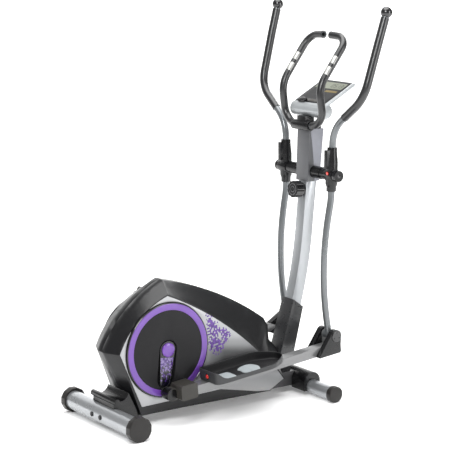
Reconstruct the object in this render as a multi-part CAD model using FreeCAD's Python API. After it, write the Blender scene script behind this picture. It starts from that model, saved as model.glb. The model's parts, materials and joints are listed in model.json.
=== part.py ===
import FreeCAD, Part
import math
import os

from FreeCAD import Vector

# Elliptical trainer, millimetres.  +X points forward from the user to the mast, +Y to the user's left,
# +Z up, and the floor is at z = 0.  Everything is laid out with x = 0 at the crank axle, and the last
# step moves the whole machine so that the middle of its box stands over the origin.

# ---- Overall layout ----
crank_height = 286.0          # crank axle above the floor
rear_foot_x = -232.0          # rear stabilizer behind the crank axle
front_foot_x = 685.0          # front stabilizer ahead of the crank axle
rear_track = 510.0            # outside width over the rear levelling caps
front_track = 564.0           # outside width over the front rollers
pivot_height = 904.0          # handle axle above the floor
mast_top_height = 1092.0
pedal_offset = 49.0           # crank boss to the centre plane of a pedal tube and its arm

# ---- Clearances ----
running_fit = 0.05            # radial, between a turning shaft and its bore
slip_gap = 0.3                # between pieces of one body that slide together at assembly
moving_gap = 1.5              # between faces that move past each other
cover_gap = 1.0               # between a plastic cover and the steel that it goes round

# ---- Main beam and stabilizers ----
beam_half_width = 40.0
beam_bottom = 24.0
beam_height = 60.0
beam_wall = 2.5
rear_tube_radius = 38.0
rear_cap_apothem = 48.0       # centre of the levelling cap to a flat
rear_cap_length = 30.0
cap_cam_offset = 3.0          # the cap is off centre, so that turning it levels the machine
cap_sides = 12
front_tube_radius = 29.0
front_roller_radius = 33.0
front_roller_length = 27.0
roller_spindle_radius = 9.0
foot_tube_wall = 2.5
cap_skirt_depth = 22.0        # how far the stabilizer goes into its cap
bolt_edge = 10.0              # bolt's middle line from the beam's side
bolt_shank_radius = 4.0
bolt_head_radius = 9.5
bolt_head_height = 6.0
bolt_length = 70.0
bolt_sink = 3.2               # how deep the bolt heads sit in the round tubes
neck_half_width = 75.0
front_neck_half_width = 126.0
front_neck_reach = 40.0       # half length of the front cover along X
front_neck_top = 92.0
front_neck_bottom = 17.0
lip_radius = 12.0             # rounded bar of the rear cover, to lift the machine by
lip_half_width = 88.0
lip_lead = 4.0                # bar ahead of the rear stabilizer's middle line
lip_rise = 28.0               # bar's middle above the top of the rear stabilizer
rear_neck_rise = 92.0         # where the rear cover meets the casing, above the stabilizer's middle line
# Side view of the rear cover, (x, z) from the rear stabilizer's middle line: the hollow top down to the
# lip, the back, and the foot under the casing.
rear_neck_outline = [(52.0, 72.0, 16.0, 66.0), (-4.0, 56.0), (-4.0, 0.0), (20.0, -40.0), (132.0, -18.0)]

# ---- Casing ----
casing_half_width = 87.0
ridge_half_width = 26.0       # half width of the narrow ridge round the top
recess_gap = 2.0              # round the edge of the disc
casing_wall = 3.0
panel_thickness = 1.5
hub_hole_radius = 26.0
# Side-view outlines. Upper points are (x, z) from the crank axle, with a point to pass through first
# where the side is an arc; foot points are (x, height above the floor).
ridge_start = (-243.0, 10.0)
ridge_top = [(-133.0, 160.0, 21.0, 261.0), (262.0, 182.0, 509.0, 40.0), (530.0, 6.0), (536.0, -53.0),
             (583.0, -103.0)]
ridge_foot = [(598.0, 75.0), (510.0, 33.0), (-121.0, 42.0)]
face_start = (-215.0, 11.0)
face_top = [(-117.0, 146.0, 6.0, 217.0), (217.0, 104.0, 427.0, -58.0), (447.0, -78.0), (484.0, -114.0),
            (542.0, -169.0)]
face_foot = [(572.0, 76.0), (498.0, 36.0), (-119.0, 44.0)]
panel_start = (-213.0, 11.5)
panel_top = [(-117.0, 142.0, 4.0, 211.0), (213.0, 100.0, 421.0, -60.0), (536.0, -171.0)]
panel_foot = [(566.0, 76.0), (496.0, 39.0), (433.0, 46.0), (253.0, 85.0), (-117.5, 77.0)]

# ---- Crank set ----
crank_radius = 165.0
crank_phase = 6.0             # degrees, right crank behind bottom dead centre at rest
axle_radius = 10.0
shell_radius = 28.0
bearing_radius = 21.0
bearing_width = 14.0
shell_right_end = -50.0
shell_left_end = 16.0
post_half_length = 26.0
disc_margin = 21.0            # disc beyond the crank pin's circle
disc_thickness = 18.0
disc_proud = 9.0              # disc beyond the casing's side
disc_floor = 4.0
channel_half_width = 40.0
channel_reach = 112.0         # end of the channel's wide part from the axle
channel_tip_gap = 2.5
crank_hub_radius = 34.0
crank_tip_radius = 20.0
crank_thickness = 11.0
crank_boss_radius = 20.0
crank_boss_rise = 8.0         # boss above the crank's face
crank_spigot_radius = 20.0

# ---- Drive ----
belt_inner_face = 22.0
belt_width = 12.0
belt_thickness = 3.0
belt_gap = 0.5
pulley_radius = 140.0
pulley_flange = 2.5           # thickness each side of the belt
pulley_hole_radius = 28.0
pulley_groove = 4.0
flywheel_x = 370.0
flywheel_z = 196.0
flywheel_radius = 104.0
flywheel_half_width = 18.0
flywheel_pulley_radius = 25.0
fork_thickness = 6.0
fork_right_face = -32.0
fork_left_face = 42.0
spoke_count = 6
magnet_gap = 4.0
magnet_thickness = 12.0
magnet_start_angle = 70.0
magnet_end_angle = 150.0
magnet_pivot_radius = 8.0
fork_margin = 3.0             # plate round each pivot, in pivot radii

# ---- Mast ----
mast_half_width = 25.0
mast_wall = 2.0
mast_lower_lean = 15.5        # degrees from vertical
mast_upper_lean = 5.0
mast_bend_x = 720.0           # where the two straight runs would meet
mast_bend_z = 514.0
mast_bend_radius = 1690.0
spigot_height = 70.0
boot_side_room = 13.0         # boot's side from the mast's side
boot_rear_top = 384.0
boot_front_top = 348.0
boot_spread = 11.0            # how much wider than the mast the boot is at its foot
boot_wall = 3.5
cover_side_room = 14.0        # cover's side from the mast's side
cover_drop = 39.0             # cover's lower end below the handle axle
cover_top_gap = 14.0          # mast above the cover
cover_rear_low = 5.0          # cover's rear face behind the mast's rear face, at its lower end
cover_rear_high = 18.0        # and at its upper end
cover_front_room = 6.0
seam_low = 6.0                # seam ahead of the mast's middle line at the lower end
seam_middle = -3.0
seam_high = -36.0

# ---- Tension knob ----
knob_drop = 37.0              # knob's middle below the cover
tension_base_radius = 26.0
tension_base_depth = 12.0
knob_radius = 34.0
knob_depth = 36.0
knob_flutes = 10
flute_radius = 6.0
spindle_radius = 5.0

# ---- Handle axle and arms ----
handle_axle_radius = 12.0
inner_sleeve_radius = 25.0
outer_sleeve_radius = 23.0
outer_sleeve_length = 28.5
hub_half_width = 25.0
axle_cap_radius = 22.5
axle_cap_depth = 21.0
arm_link = 655.0              # handle axle to lower joint
arm_tube_radius = 14.0
arm_wall = 2.0
arm_bow = 52.0                # how far back the lower arm's two runs would meet
arm_bend_drop = 378.0         # bend below the handle axle
arm_bend_radius = 1200.0
arm_straight = 100.0          # straight stretch below the handle axle
arm_start_radius = 300.0      # bend at the end of that stretch
joint_lead = 4.0              # lower joint ahead of the handle axle with the arms level
joint_pin_radius = 8.0
eye_radius = 18.0
eye_gap = 1.0                 # eye to each fork plate
hub_top = 112.0               # sleeve ends above and below the handle axle
hub_bottom = 65.0
hub_collar_radius = 20.0
hub_belly_radius = 24.5
hub_collar_length = 16.0
hub_shoulder = 14.0           # length of the taper from the lower collar to the belly
hub_upper_taper = 44.0
hub_boss_radius = 26.0
rib_rise = 65.0               # rib's middle above the handle axle
rib_half_height = 37.0
rib_half_width = 9.0
rib_depth = 9.0
tube_end_gap = 20.0           # arm tubes stop this far above and below the handle axle
grip_radius = 17.0
end_knob_radius = 23.4
# Corners of the upper arm: ahead of the handle axle, out from the arm's plane, above the handle axle.
upper_arm_corners = [(1.0, 1.0, 185.0), (9.0, 175.0, 321.0), (69.0, 183.0, 537.0), (104.0, 186.0, 655.0)]
upper_arm_radii = [130.0, 130.0, 300.0]
grip_start_share = 0.375      # along the outward run, where the foam begins
grip_end_overlap = 2.0        # foam into the knob's ball

# ---- Pedals ----
pedal_tube_half_width = 25.0
pedal_tube_half_height = 17.5
pedal_tube_wall = 2.0
pedal_joint_reach = 774.5     # crank pin to lower joint, along the tube
pedal_joint_rise = 55.0       # lower joint above the tube's middle line
pedal_tube_start = 28.0
pedal_tube_overhang = 20.0    # tube beyond the lower joint
fork_plate = 6.0
fork_eye_radius = 17.5
bearing_rear = 17.0           # bearing block ahead of the crank pin
bearing_front = 92.0
bearing_half_height = 30.0
bearing_rise = 8.0            # block's middle above the tube's middle line
bearing_inner_reach = 34.0    # from the tube's centre plane
bearing_outer_reach = 40.0
bearing_corner = 9.0
housing_radius = 24.0         # round part of the bearing block, on the crank pin
housing_outer_reach = 2.0
pin_cover = 4.0               # depth of plastic over the pin's end
crank_pin_radius = 10.0
washer_radius = 20.0
washer_gap = 2.0              # crank boss to washer
washer_thickness = 3.0
tray_gap = 3.0                # crank boss to tray
tray_width = 140.0
tray_start = 150.0
tray_end = 505.0
tray_floor = 4.0
tray_wall = 4.0
tray_rear_height = 48.0
tray_inner_height = 42.0
tray_outer_height = 18.0
tray_front_height = 30.0
tray_corner = 45.0
tray_rear_corner = 15.0
joint_cover_half_width = 50.0
joint_cover_radius = 26.0
joint_pin_inset = 2.5         # pin's ends below the cover's faces
joint_cover_tail = 90.0
joint_cover_slope = 140.0     # degrees, where the cover's sloping rear edge leaves its round top
joint_cover_corner = 6.0

# ---- Fixed handlebar ----
bar_radius = 12.5
bar_wall = 2.0
bar_grip_radius = 15.5
sensor_shift = 10.0           # how far round the bar a sensor plate reaches
sensor_run = 2                # the run of the bar that holds the plates
sensor_shares = [(0.24, 0.42), (0.46, 0.63)]
foam_start_share = 0.22       # along the first run
foam_end_share = 0.98         # along the last run
# Corners of one side: ahead of the mast's top, out from the middle plane, above the mast's top.
bar_corners = [(-50.0, 40.0, 1.0), (-38.0, 124.0, 15.0), (-62.0, 120.0, 163.0), (82.0, 121.0, 354.0),
               (74.0, 21.0, 360.0)]
bar_radii = [60.0, 68.0, 110.0, 55.0]
clamp_radius = 20.0
clamp_half_width = 54.0
clamp_plate_room = 3.0        # clamp plate's side from the mast's side
clamp_plate_height = 12.0

# ---- Console ----
console_half_width = 102.0
console_nose_radius = 30.0
console_nose_lead = -6.0      # nose centre ahead of the mast's top
console_nose_rise = 61.0      # nose centre above the mast's top
console_slope = 28.0          # degrees, of the screen from level
console_length = 178.0
console_edge = 16.0
console_nose_back = 210.0     # degrees, a place on the back of the nose
console_wall = 3.0
console_post_rear = 7.0       # post's faces behind and ahead of the bar's middle
console_post_front = 40.0
console_post_rise = 8.0       # post's top above the bottom of the nose
console_post_half_width = 26.0
screen_half_width = 82.0
screen_start = 60.0
screen_length = 94.0
screen_thickness = 2.0
key_count = 3
key_pitch = 44.0
key_half_width = 14.0
key_half_length = 6.5
key_centre = 22.0
key_travel = 1.5
key_proud = 0.5               # key above the case when pressed
key_height = 5.0
key_side_gap = 0.5

# ---- Places worked out from the values above ----
still = Vector(0, 0, 0)
origin = Vector(0, 0, 0)
y_axis = Vector(0, 1, 0)
lower_lean = math.radians(mast_lower_lean)
upper_lean = math.radians(mast_upper_lean)
beam_top = beam_bottom + beam_height
rear_foot_z = rear_cap_apothem
front_foot_z = front_roller_radius
pivot_x = mast_bend_x + (pivot_height - mast_bend_z) * math.tan(upper_lean)
mast_top_x = mast_bend_x + (mast_top_height - mast_bend_z) * math.tan(upper_lean)
disc_radius = crank_radius + disc_margin
disc_outer_face = casing_half_width + disc_proud
disc_inner_face = disc_outer_face - disc_thickness
recess_floor = disc_inner_face - moving_gap
recess_radius = disc_radius + recess_gap
crank_inner_face = disc_inner_face + disc_floor
crank_outer_face = crank_inner_face + crank_thickness
crank_boss_face = crank_outer_face + crank_boss_rise
side_offset = crank_boss_face + pedal_offset
washer_inner_face = crank_boss_face + washer_gap
bearing_inner_face = side_offset - bearing_inner_reach
bearing_outer_face = side_offset + bearing_outer_reach
housing_outer_face = side_offset + housing_outer_reach
tray_inner_face = crank_boss_face + tray_gap
tray_outer_face = tray_inner_face + tray_width
joint_cover_inner = side_offset - joint_cover_half_width
joint_cover_outer = side_offset + joint_cover_half_width
boot_half_width = mast_half_width + boot_side_room
cover_half_width = mast_half_width + cover_side_room
eye_half_width = pedal_tube_half_width - fork_plate - eye_gap
cover_bottom = pivot_height - cover_drop
cover_top = mast_top_height - cover_top_gap
knob_height = cover_bottom - knob_drop
rear_cap_face = rear_track / 2
front_roller_face = front_track / 2


# ---- Shape helpers ----
def plane_point(x, z, y=0.0):
    """A point given by its place in the side view."""
    return Vector(x, y, z)


def side_wire(start, steps, y=0.0):
    """A closed side-view outline. A step of two values is a straight line to that point, and a step of
    four values is an arc through the first point to the second."""
    edges = []
    here = plane_point(start[0], start[1], y)
    for step in steps:
        there = plane_point(step[-2], step[-1], y)
        if len(step) == 2:
            edges.append(Part.LineSegment(here, there).toShape())
        else:
            middle = plane_point(step[0], step[1], y)
            edges.append(Part.Arc(here, middle, there).toShape())
        here = there
    return Part.Wire(edges)


def side_plate(start, steps, y_from, y_to):
    """A plate with a side-view outline between two planes across the machine."""
    face = Part.Face(side_wire(start, steps, y_from))
    return face.extrude(Vector(0, y_to - y_from, 0))


def polygon_plate(points, y_from, y_to):
    """A plate whose side-view outline has straight sides."""
    return side_plate(points[0], points[1:] + [points[0]], y_from, y_to)


def block(x_from, x_to, y_from, y_to, z_from, z_to):
    """A box between two corners."""
    corner = Vector(x_from, y_from, z_from)
    return Part.makeBox(x_to - x_from, y_to - y_from, z_to - z_from, corner)


def cross_rod(x, z, radius, y_from, y_to):
    """A round bar across the machine."""
    return Part.makeCylinder(radius, y_to - y_from, Vector(x, y_from, z), y_axis)


def cross_ring(x, z, outer, inner, y_from, y_to):
    """A round bush across the machine."""
    return cross_rod(x, z, outer, y_from, y_to).cut(cross_rod(x, z, inner, y_from, y_to))


def both_sides(piece):
    """A left piece and its mirror image on the right."""
    return [piece, right_of(piece)]


def right_of(piece):
    """The right-hand copy of a left-hand piece."""
    return piece.mirror(origin, y_axis)


def rounded_path(points, radii):
    """Straight runs joined by tangent arcs, one radius for each inner corner."""
    edges = []
    here = points[0]
    for corner, radius, beyond in zip(points[1:-1], radii, points[2:]):
        back = (here - corner).normalize()
        onward = (beyond - corner).normalize()
        half_angle = back.getAngle(onward) / 2
        tangent = radius / math.tan(half_angle)
        arc_start = corner + back * tangent
        arc_end = corner + onward * tangent
        bisector = (back + onward).normalize()
        arc_middle = corner + bisector * (radius / math.sin(half_angle) - radius)
        edges.append(Part.LineSegment(here, arc_start).toShape())
        edges.append(Part.Arc(arc_start, arc_middle, arc_end).toShape())
        here = arc_end
    edges.append(Part.LineSegment(here, points[-1]).toShape())
    return Part.Wire(edges)


def bent_rod(points, radii, radius):
    """A round bar along a bent path."""
    direction = points[1] - points[0]
    section = Part.Wire(Part.Circle(points[0], direction, radius).toShape())
    return rounded_path(points, radii).makePipeShell([section], True, False)


def bent_tube(points, radii, radius, wall):
    """A round tube along a bent path."""
    return bent_rod(points, radii, radius).cut(bent_rod(points, radii, radius - wall))


def between(first, second, share):
    """A point part of the way from one point to another."""
    return first + (second - first) * share


def obround(x_from, z_from, r_from, x_to, z_to, r_to, y_from, y_to):
    """A plate with a round end at each of two centres and straight sides tangent to both."""
    reach = math.hypot(x_to - x_from, z_to - z_from)
    heading = math.atan2(z_to - z_from, x_to - x_from)
    spread = math.acos((r_from - r_to) / reach)
    left = heading + spread
    right = heading - spread
    near_left = (x_from + r_from * math.cos(left), z_from + r_from * math.sin(left))
    far_left = (x_to + r_to * math.cos(left), z_to + r_to * math.sin(left))
    far_right = (x_to + r_to * math.cos(right), z_to + r_to * math.sin(right))
    near_right = (x_from + r_from * math.cos(right), z_from + r_from * math.sin(right))
    far_tip = (x_to + r_to * math.cos(heading), z_to + r_to * math.sin(heading))
    near_tip = (x_from - r_from * math.cos(heading), z_from - r_from * math.sin(heading))
    return side_plate(near_left, [far_left, far_tip + far_right, near_right, near_tip + near_left],
                      y_from, y_to)


# ---- Places on the mast ----
def mast_x(z):
    """The mast's middle line at a height, on the lower or the upper straight run."""
    if z < mast_bend_z:
        return mast_bend_x + (z - mast_bend_z) * math.tan(lower_lean)
    return mast_bend_x + (z - mast_bend_z) * math.tan(upper_lean)


def mast_solid(offset, half_width, z_from, z_to):
    """The mast's curved form, offset from its middle line, between two level cuts."""
    low = beam_top - mast_half_width
    high = mast_top_height + mast_half_width
    path = [plane_point(mast_x(low), low), plane_point(mast_bend_x, mast_bend_z),
            plane_point(mast_x(high), high)]
    line = rounded_path(path, [mast_bend_radius])
    start = path[0]
    across = Vector(math.cos(lower_lean), 0, -math.sin(lower_lean)) * offset
    side = Vector(0, half_width, 0)
    corners = [start + across + side, start + across - side, start - across - side, start - across + side]
    section = Part.makePolygon(corners + [corners[0]])
    swept = line.makePipeShell([section], True, False)
    keep = block(start.x - 2 * offset, mast_top_x + 4 * offset, -half_width, half_width, z_from, z_to)
    return swept.common(keep)


# ---- Frame pieces ----
def foot_bolts():
    """Two bolts through each stabilizer into the ends of the main beam."""
    bolts = []
    for x, z, radius, direction in ((rear_foot_x, rear_foot_z, rear_tube_radius, 1),
                                    (front_foot_x, front_foot_z, front_tube_radius, -1)):
        for side in (-1, 1):
            y = side * (beam_half_width - bolt_edge)
            forward = Vector(direction, 0, 0)
            seat = Vector(x - direction * (radius - bolt_sink), y, z)
            head = Part.makeCylinder(bolt_head_radius, bolt_head_height, seat - forward * bolt_head_height,
                                     forward)
            shank = Part.makeCylinder(bolt_shank_radius, bolt_length, seat, forward)
            bolts.append(head.fuse(shank).removeSplitter())
    return bolts


def bolt_holes():
    """The room that the stabilizer bolts need, heads included."""
    holes = []
    for x, z, radius, direction in ((rear_foot_x, rear_foot_z, rear_tube_radius, 1),
                                    (front_foot_x, front_foot_z, front_tube_radius, -1)):
        for side in (-1, 1):
            y = side * (beam_half_width - bolt_edge)
            forward = Vector(direction, 0, 0)
            seat = Vector(x - direction * (radius - bolt_sink), y, z)
            holes.append(Part.makeCylinder(bolt_shank_radius + slip_gap, bolt_length + radius, seat, forward))
            start = seat - forward * bolt_head_height
            holes.append(Part.makeCylinder(bolt_head_radius, bolt_head_height, start, forward))
    return holes


def rear_stabilizer():
    """The rear cross tube, whose ends turn in the levelling caps."""
    end = rear_cap_face - rear_cap_length + cap_skirt_depth
    outer = cross_rod(rear_foot_x, rear_foot_z, rear_tube_radius, -end, end)
    inner = cross_rod(rear_foot_x, rear_foot_z, rear_tube_radius - foot_tube_wall, -end, end)
    return outer.cut(inner).cut(Part.makeCompound(bolt_holes()))


def front_stabilizer():
    """The front cross tube with a closed end and a spindle for each roller."""
    end = front_roller_face - front_roller_length - moving_gap
    tube = cross_rod(front_foot_x, front_foot_z, front_tube_radius, -end, end)
    inner_end = end - foot_tube_wall
    inner_radius = front_tube_radius - foot_tube_wall
    tube = tube.cut(cross_rod(front_foot_x, front_foot_z, inner_radius, -inner_end, inner_end))
    for side in (-1, 1):
        y_from = min(side * inner_end, side * (front_roller_face - foot_tube_wall))
        y_to = max(side * inner_end, side * (front_roller_face - foot_tube_wall))
        tube = tube.fuse(cross_rod(front_foot_x, front_foot_z, roller_spindle_radius, y_from, y_to))
    return tube.removeSplitter().cut(Part.makeCompound(bolt_holes()))


def main_frame():
    """Main beam, crank post with its bearing shell, flywheel fork and mast spigot, welded in one."""
    half = beam_half_width
    outer = block(rear_foot_x, front_foot_x, -half, half, beam_bottom, beam_top)
    inner_half = half - beam_wall
    inner = block(rear_foot_x, front_foot_x, -inner_half, inner_half, beam_bottom + beam_wall,
                  beam_top - beam_wall)
    beam = outer.cut(inner)
    beam = beam.cut(cross_rod(rear_foot_x, rear_foot_z, rear_tube_radius, -half, half))
    beam = beam.cut(cross_rod(front_foot_x, front_foot_z, front_tube_radius, -half, half))
    post = block(-post_half_length, post_half_length, shell_right_end + bearing_width,
                 shell_left_end - bearing_width / 2, beam_top, crank_height)
    shell = cross_rod(0, crank_height, shell_radius, shell_right_end, shell_left_end)
    bore = cross_rod(0, crank_height, bearing_radius, shell_right_end, shell_left_end)
    frame = beam.fuse(post).fuse(shell).cut(bore)
    for y_from in (fork_right_face, fork_left_face - fork_thickness):
        frame = frame.fuse(fork_plate_shape(y_from, y_from + fork_thickness))
    frame = frame.fuse(fork_foot())
    spigot_offset = mast_half_width - mast_wall - slip_gap
    spigot = mast_solid(spigot_offset, spigot_offset, beam_top, beam_top + spigot_height)
    core = mast_solid(spigot_offset - mast_wall, spigot_offset - mast_wall, beam_top,
                      beam_top + spigot_height)
    frame = frame.fuse(spigot.cut(core))
    return frame.removeSplitter().cut(Part.makeCompound(bolt_holes()))


def magnet_pivot():
    """Where the magnet carrier hinges, behind the flywheel's rim."""
    angle = math.radians(magnet_end_angle)
    reach = flywheel_radius + magnet_gap + magnet_thickness / 2
    return flywheel_x + reach * math.cos(angle), flywheel_z + reach * math.sin(angle)


def fork_foot():
    """The flat plate that carries both plates of the fork on the beam."""
    hinge_x, hinge_z = magnet_pivot()
    margin = fork_margin * magnet_pivot_radius
    return block(hinge_x - margin, flywheel_x + margin, fork_right_face, fork_left_face, beam_top,
                 beam_top + fork_thickness)


def fork_plate_shape(y_from, y_to):
    """One plate of the fork that holds the flywheel and the magnet carrier."""
    hinge_x, hinge_z = magnet_pivot()
    margin = fork_margin * magnet_pivot_radius
    corners = [(hinge_x - margin, beam_top), (hinge_x - margin, hinge_z + margin),
               (hinge_x + margin, hinge_z + margin), (flywheel_x + margin, flywheel_z + margin),
               (flywheel_x + margin, beam_top)]
    plate = polygon_plate(corners, y_from, y_to)
    return plate.cut(cross_rod(flywheel_x, flywheel_z, axle_radius, y_from, y_to))


def crank_bearings():
    """A ball bearing in each end of the shell."""
    bearings = []
    for y_from in (shell_right_end, shell_left_end - bearing_width):
        bearings.append(cross_ring(0, crank_height, bearing_radius, axle_radius, y_from,
                                   y_from + bearing_width))
    return bearings


def flywheel_axle():
    """The fixed axle across the fork, with the hinge pin of the magnet carrier beside it."""
    axle = cross_rod(flywheel_x, flywheel_z, axle_radius, fork_right_face - fork_thickness,
                     fork_left_face + fork_thickness)
    hinge_x, hinge_z = magnet_pivot()
    hinge = cross_rod(hinge_x, hinge_z, magnet_pivot_radius / 2, fork_right_face + fork_thickness,
                      fork_left_face - fork_thickness)
    return [axle, hinge]


def from_axle(points):
    """Outline points measured from the crank axle become heights above the floor."""
    moved = []
    for point in points:
        moved.append(tuple(value + crank_height * (index % 2) for index, value in enumerate(point)))
    return moved


def ridge_outline(y):
    """The casing's outline at its middle, where the ridge stands highest."""
    start = from_axle([ridge_start])[0]
    return side_wire(start, from_axle(ridge_top) + ridge_foot + [start], y)


def face_outline(y):
    """The casing's outline where it meets its flat side."""
    start = from_axle([face_start])[0]
    return side_wire(start, from_axle(face_top) + face_foot + [start], y)


def casing_body(shrink):
    """A solid casing half on the left, as a flat plate and a tapering side. With a wall thickness it is
    the hollow inside instead."""
    middle = ridge_outline(0)
    ridge = ridge_outline(ridge_half_width)
    face = face_outline(casing_half_width - shrink)
    if shrink > 0:
        middle = middle.makeOffset2D(-shrink)
        ridge = ridge.makeOffset2D(-shrink)
        face = face.makeOffset2D(-shrink)
    plate = Part.Face(middle).extrude(Vector(0, ridge_half_width, 0))
    side = Part.makeLoft([ridge, face], True, True)
    return plate.fuse(side)


def casing_cuts():
    """The room that the casing leaves for the beam, the boot and the crank."""
    gap = cover_gap
    beam = block(rear_foot_x, front_foot_x, -beam_half_width - gap, beam_half_width + gap, 0, beam_top + gap)
    boot = boot_form(boot_half_width + gap, gap)
    hub = cross_rod(0, crank_height, hub_hole_radius, -2 * casing_half_width, 2 * casing_half_width)
    recess = cross_rod(0, crank_height, recess_radius, recess_floor, 2 * casing_half_width)
    return beam.fuse(boot).fuse(hub).fuse(recess)


def casing_half():
    """The left casing shell, with a round cup in its side for the disc."""
    body = casing_body(0)
    cup = cross_rod(0, crank_height, recess_radius + casing_wall, recess_floor - casing_wall,
                    casing_half_width)
    shell = body.cut(casing_body(casing_wall)).fuse(cup.common(body))
    return shell.removeSplitter().cut(casing_cuts())


def side_panel():
    """The bright plate on the left side of the casing."""
    start = from_axle([panel_start])[0]
    outline = from_axle(panel_top) + panel_foot + [start]
    panel = side_plate(start, outline, casing_half_width, casing_half_width + panel_thickness)
    return panel.cut(casing_cuts())


def casing_rear_x(z):
    """Just behind the casing's lower rear edge, at a height."""
    top_x, top_z = from_axle([ridge_start])[0]
    foot_x, foot_z = ridge_foot[-1]
    return top_x + (foot_x - top_x) * (top_z - z) / (top_z - foot_z) - cover_gap


def rear_neck_cover():
    """The flared cover between the casing and the rear stabilizer, with its rounded lifting lip."""
    foot = rear_foot_x
    top = rear_foot_z + rear_neck_rise
    low = ridge_foot[-1][1] - cover_gap
    outline = []
    for point in rear_neck_outline:
        outline.append(tuple(value + (foot, rear_foot_z)[index % 2] for index, value in enumerate(point)))
    start = (casing_rear_x(top), top)
    outline += [(casing_rear_x(low), low), start]
    cover = side_plate(start, outline, -neck_half_width, neck_half_width)
    lip_z = rear_foot_z + rear_tube_radius + lip_rise
    cover = cover.fuse(cross_rod(foot + lip_lead, lip_z, lip_radius, -lip_half_width, lip_half_width))
    tube = cross_rod(foot, rear_foot_z, rear_tube_radius, -rear_cap_face, rear_cap_face)
    gap = cover_gap
    beam = block(foot, 0, -beam_half_width - gap, beam_half_width + gap, 0, beam_top + gap)
    return cover.removeSplitter().cut(tube).cut(beam)


def front_neck_cover():
    """The saddle over the middle of the front stabilizer."""
    rear = front_foot_x - front_neck_reach
    front = front_foot_x + front_neck_reach
    shoulder = (front_neck_bottom + front_neck_top) / 2
    outline = [(rear, shoulder), (front_foot_x, front_neck_top, front, shoulder),
               (front, front_neck_bottom), (rear, front_neck_bottom)]
    cover = side_plate((rear, front_neck_bottom), outline, -front_neck_half_width, front_neck_half_width)
    tube = cross_rod(front_foot_x, front_foot_z, front_tube_radius, -front_roller_face, front_roller_face)
    gap = cover_gap
    beam = block(0, front_foot_x + gap, -beam_half_width - gap, beam_half_width + gap, 0, beam_top + gap)
    bolts = block(front_foot_x, front, -beam_half_width, beam_half_width, 0,
                  front_foot_z + bolt_head_radius + gap)
    return cover.cut(tube).cut(beam).cut(bolts)


def mast():
    """The curved square tube, drilled for the handle axle and the tension spindle."""
    inner = mast_half_width - mast_wall
    tube = mast_solid(mast_half_width, mast_half_width, beam_top, mast_top_height)
    tube = tube.cut(mast_solid(inner, inner, beam_top, mast_top_height))
    tube = tube.cut(cross_rod(pivot_x, pivot_height, handle_axle_radius, -mast_half_width, mast_half_width))
    start, direction = knob_axis()
    return tube.cut(Part.makeCylinder(spindle_radius + slip_gap, mast_half_width, start - direction
                                      * mast_half_width / 2, direction))


def boot_form(half_width, spread):
    """The boot's outside, wider at the foot and cut on a slope at the top."""
    rise = mast_half_width / math.cos(lower_lean)
    top = rise + boot_wall + spread
    foot = rise + boot_spread + spread
    corners = [(mast_x(beam_top) - foot, beam_top), (mast_x(boot_rear_top) - top, boot_rear_top + spread),
               (mast_x(boot_front_top) + top, boot_front_top + spread), (mast_x(beam_top) + foot, beam_top)]
    return polygon_plate(corners, -half_width, half_width)


def mast_boot():
    """The plastic sleeve round the foot of the mast."""
    gap = slip_gap
    hollow = mast_solid(mast_half_width + gap, mast_half_width + gap, beam_top, boot_rear_top + boot_wall)
    boot = boot_form(boot_half_width, 0).cut(hollow)
    room_half = boot_half_width - boot_wall
    rise = mast_half_width / math.cos(lower_lean)
    foot = rise + boot_spread - boot_wall
    room = polygon_plate([(mast_x(beam_top) - foot, beam_top), (mast_x(boot_rear_top) - rise, boot_rear_top),
                          (mast_x(beam_top) + foot, beam_top)], -room_half, room_half)
    return boot.cut(room)


def cover_block():
    """The outside of the mast's upper cover, both parts together."""
    half = mast_half_width
    low = cover_bottom
    high = cover_top
    corners = [(mast_x(low) - half - cover_rear_low, low), (mast_x(high) - half - cover_rear_high, high),
               (mast_x(high) + half + cover_front_room, high), (mast_x(low) + half + cover_front_room, low)]
    return polygon_plate(corners, -cover_half_width, cover_half_width)


def cover_blank():
    """Both parts of the cover, bored for the mast and the handle axle."""
    gap = slip_gap
    hollow = mast_solid(mast_half_width + gap, mast_half_width + gap, cover_bottom, cover_top)
    axle = cross_rod(pivot_x, pivot_height, handle_axle_radius + gap, -cover_half_width, cover_half_width)
    return cover_block().cut(hollow).cut(axle)


def cover_seam():
    """Everything behind the curved seam between the two parts of the cover."""
    low = (mast_x(cover_bottom) + seam_low, cover_bottom)
    middle = (mast_x(cover_bottom) + seam_middle, (cover_bottom + cover_top) / 2)
    high = (mast_x(cover_top) + seam_high, cover_top)
    far_back = mast_x(cover_bottom) - 2 * (mast_half_width + cover_rear_high)
    outline = [middle + high, (far_back, cover_top), (far_back, cover_bottom), low]
    return side_plate(low, outline, -2 * cover_half_width, 2 * cover_half_width)


def mast_cover_rear():
    """The part of the cover that faces the user."""
    return cover_blank().common(cover_seam())


def mast_cover_front():
    """The part of the cover that faces forward."""
    return cover_blank().cut(cover_seam())


def knob_axis():
    """The middle of the tension base on the mast's rear face, and the way that the knob points."""
    direction = Vector(-math.cos(upper_lean), 0, math.sin(upper_lean))
    start = Vector(mast_x(knob_height), 0, knob_height) + direction * mast_half_width
    return start, direction


def tension_base():
    """The plate on the mast that the tension knob turns on."""
    start, direction = knob_axis()
    plate = Part.makeCylinder(tension_base_radius, tension_base_depth, start, direction)
    bore = Part.makeCylinder(spindle_radius + running_fit, tension_base_depth, start, direction)
    return plate.cut(bore)


def tension_knob():
    """The fluted knob with its spindle."""
    start, direction = knob_axis()
    seat = start + direction * (tension_base_depth + moving_gap)
    knob = Part.makeCylinder(knob_radius, knob_depth, seat, direction)
    for index in range(knob_flutes):
        turn = 360.0 * index / knob_flutes
        place = seat + y_axis * (knob_radius + flute_radius / 2)
        flute = Part.makeCylinder(flute_radius, knob_depth, place, direction)
        flute.rotate(seat, direction, turn)
        knob = knob.cut(flute)
    spindle = Part.makeCylinder(spindle_radius, tension_base_depth + moving_gap, start, direction)
    return knob.fuse(spindle).removeSplitter()


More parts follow.
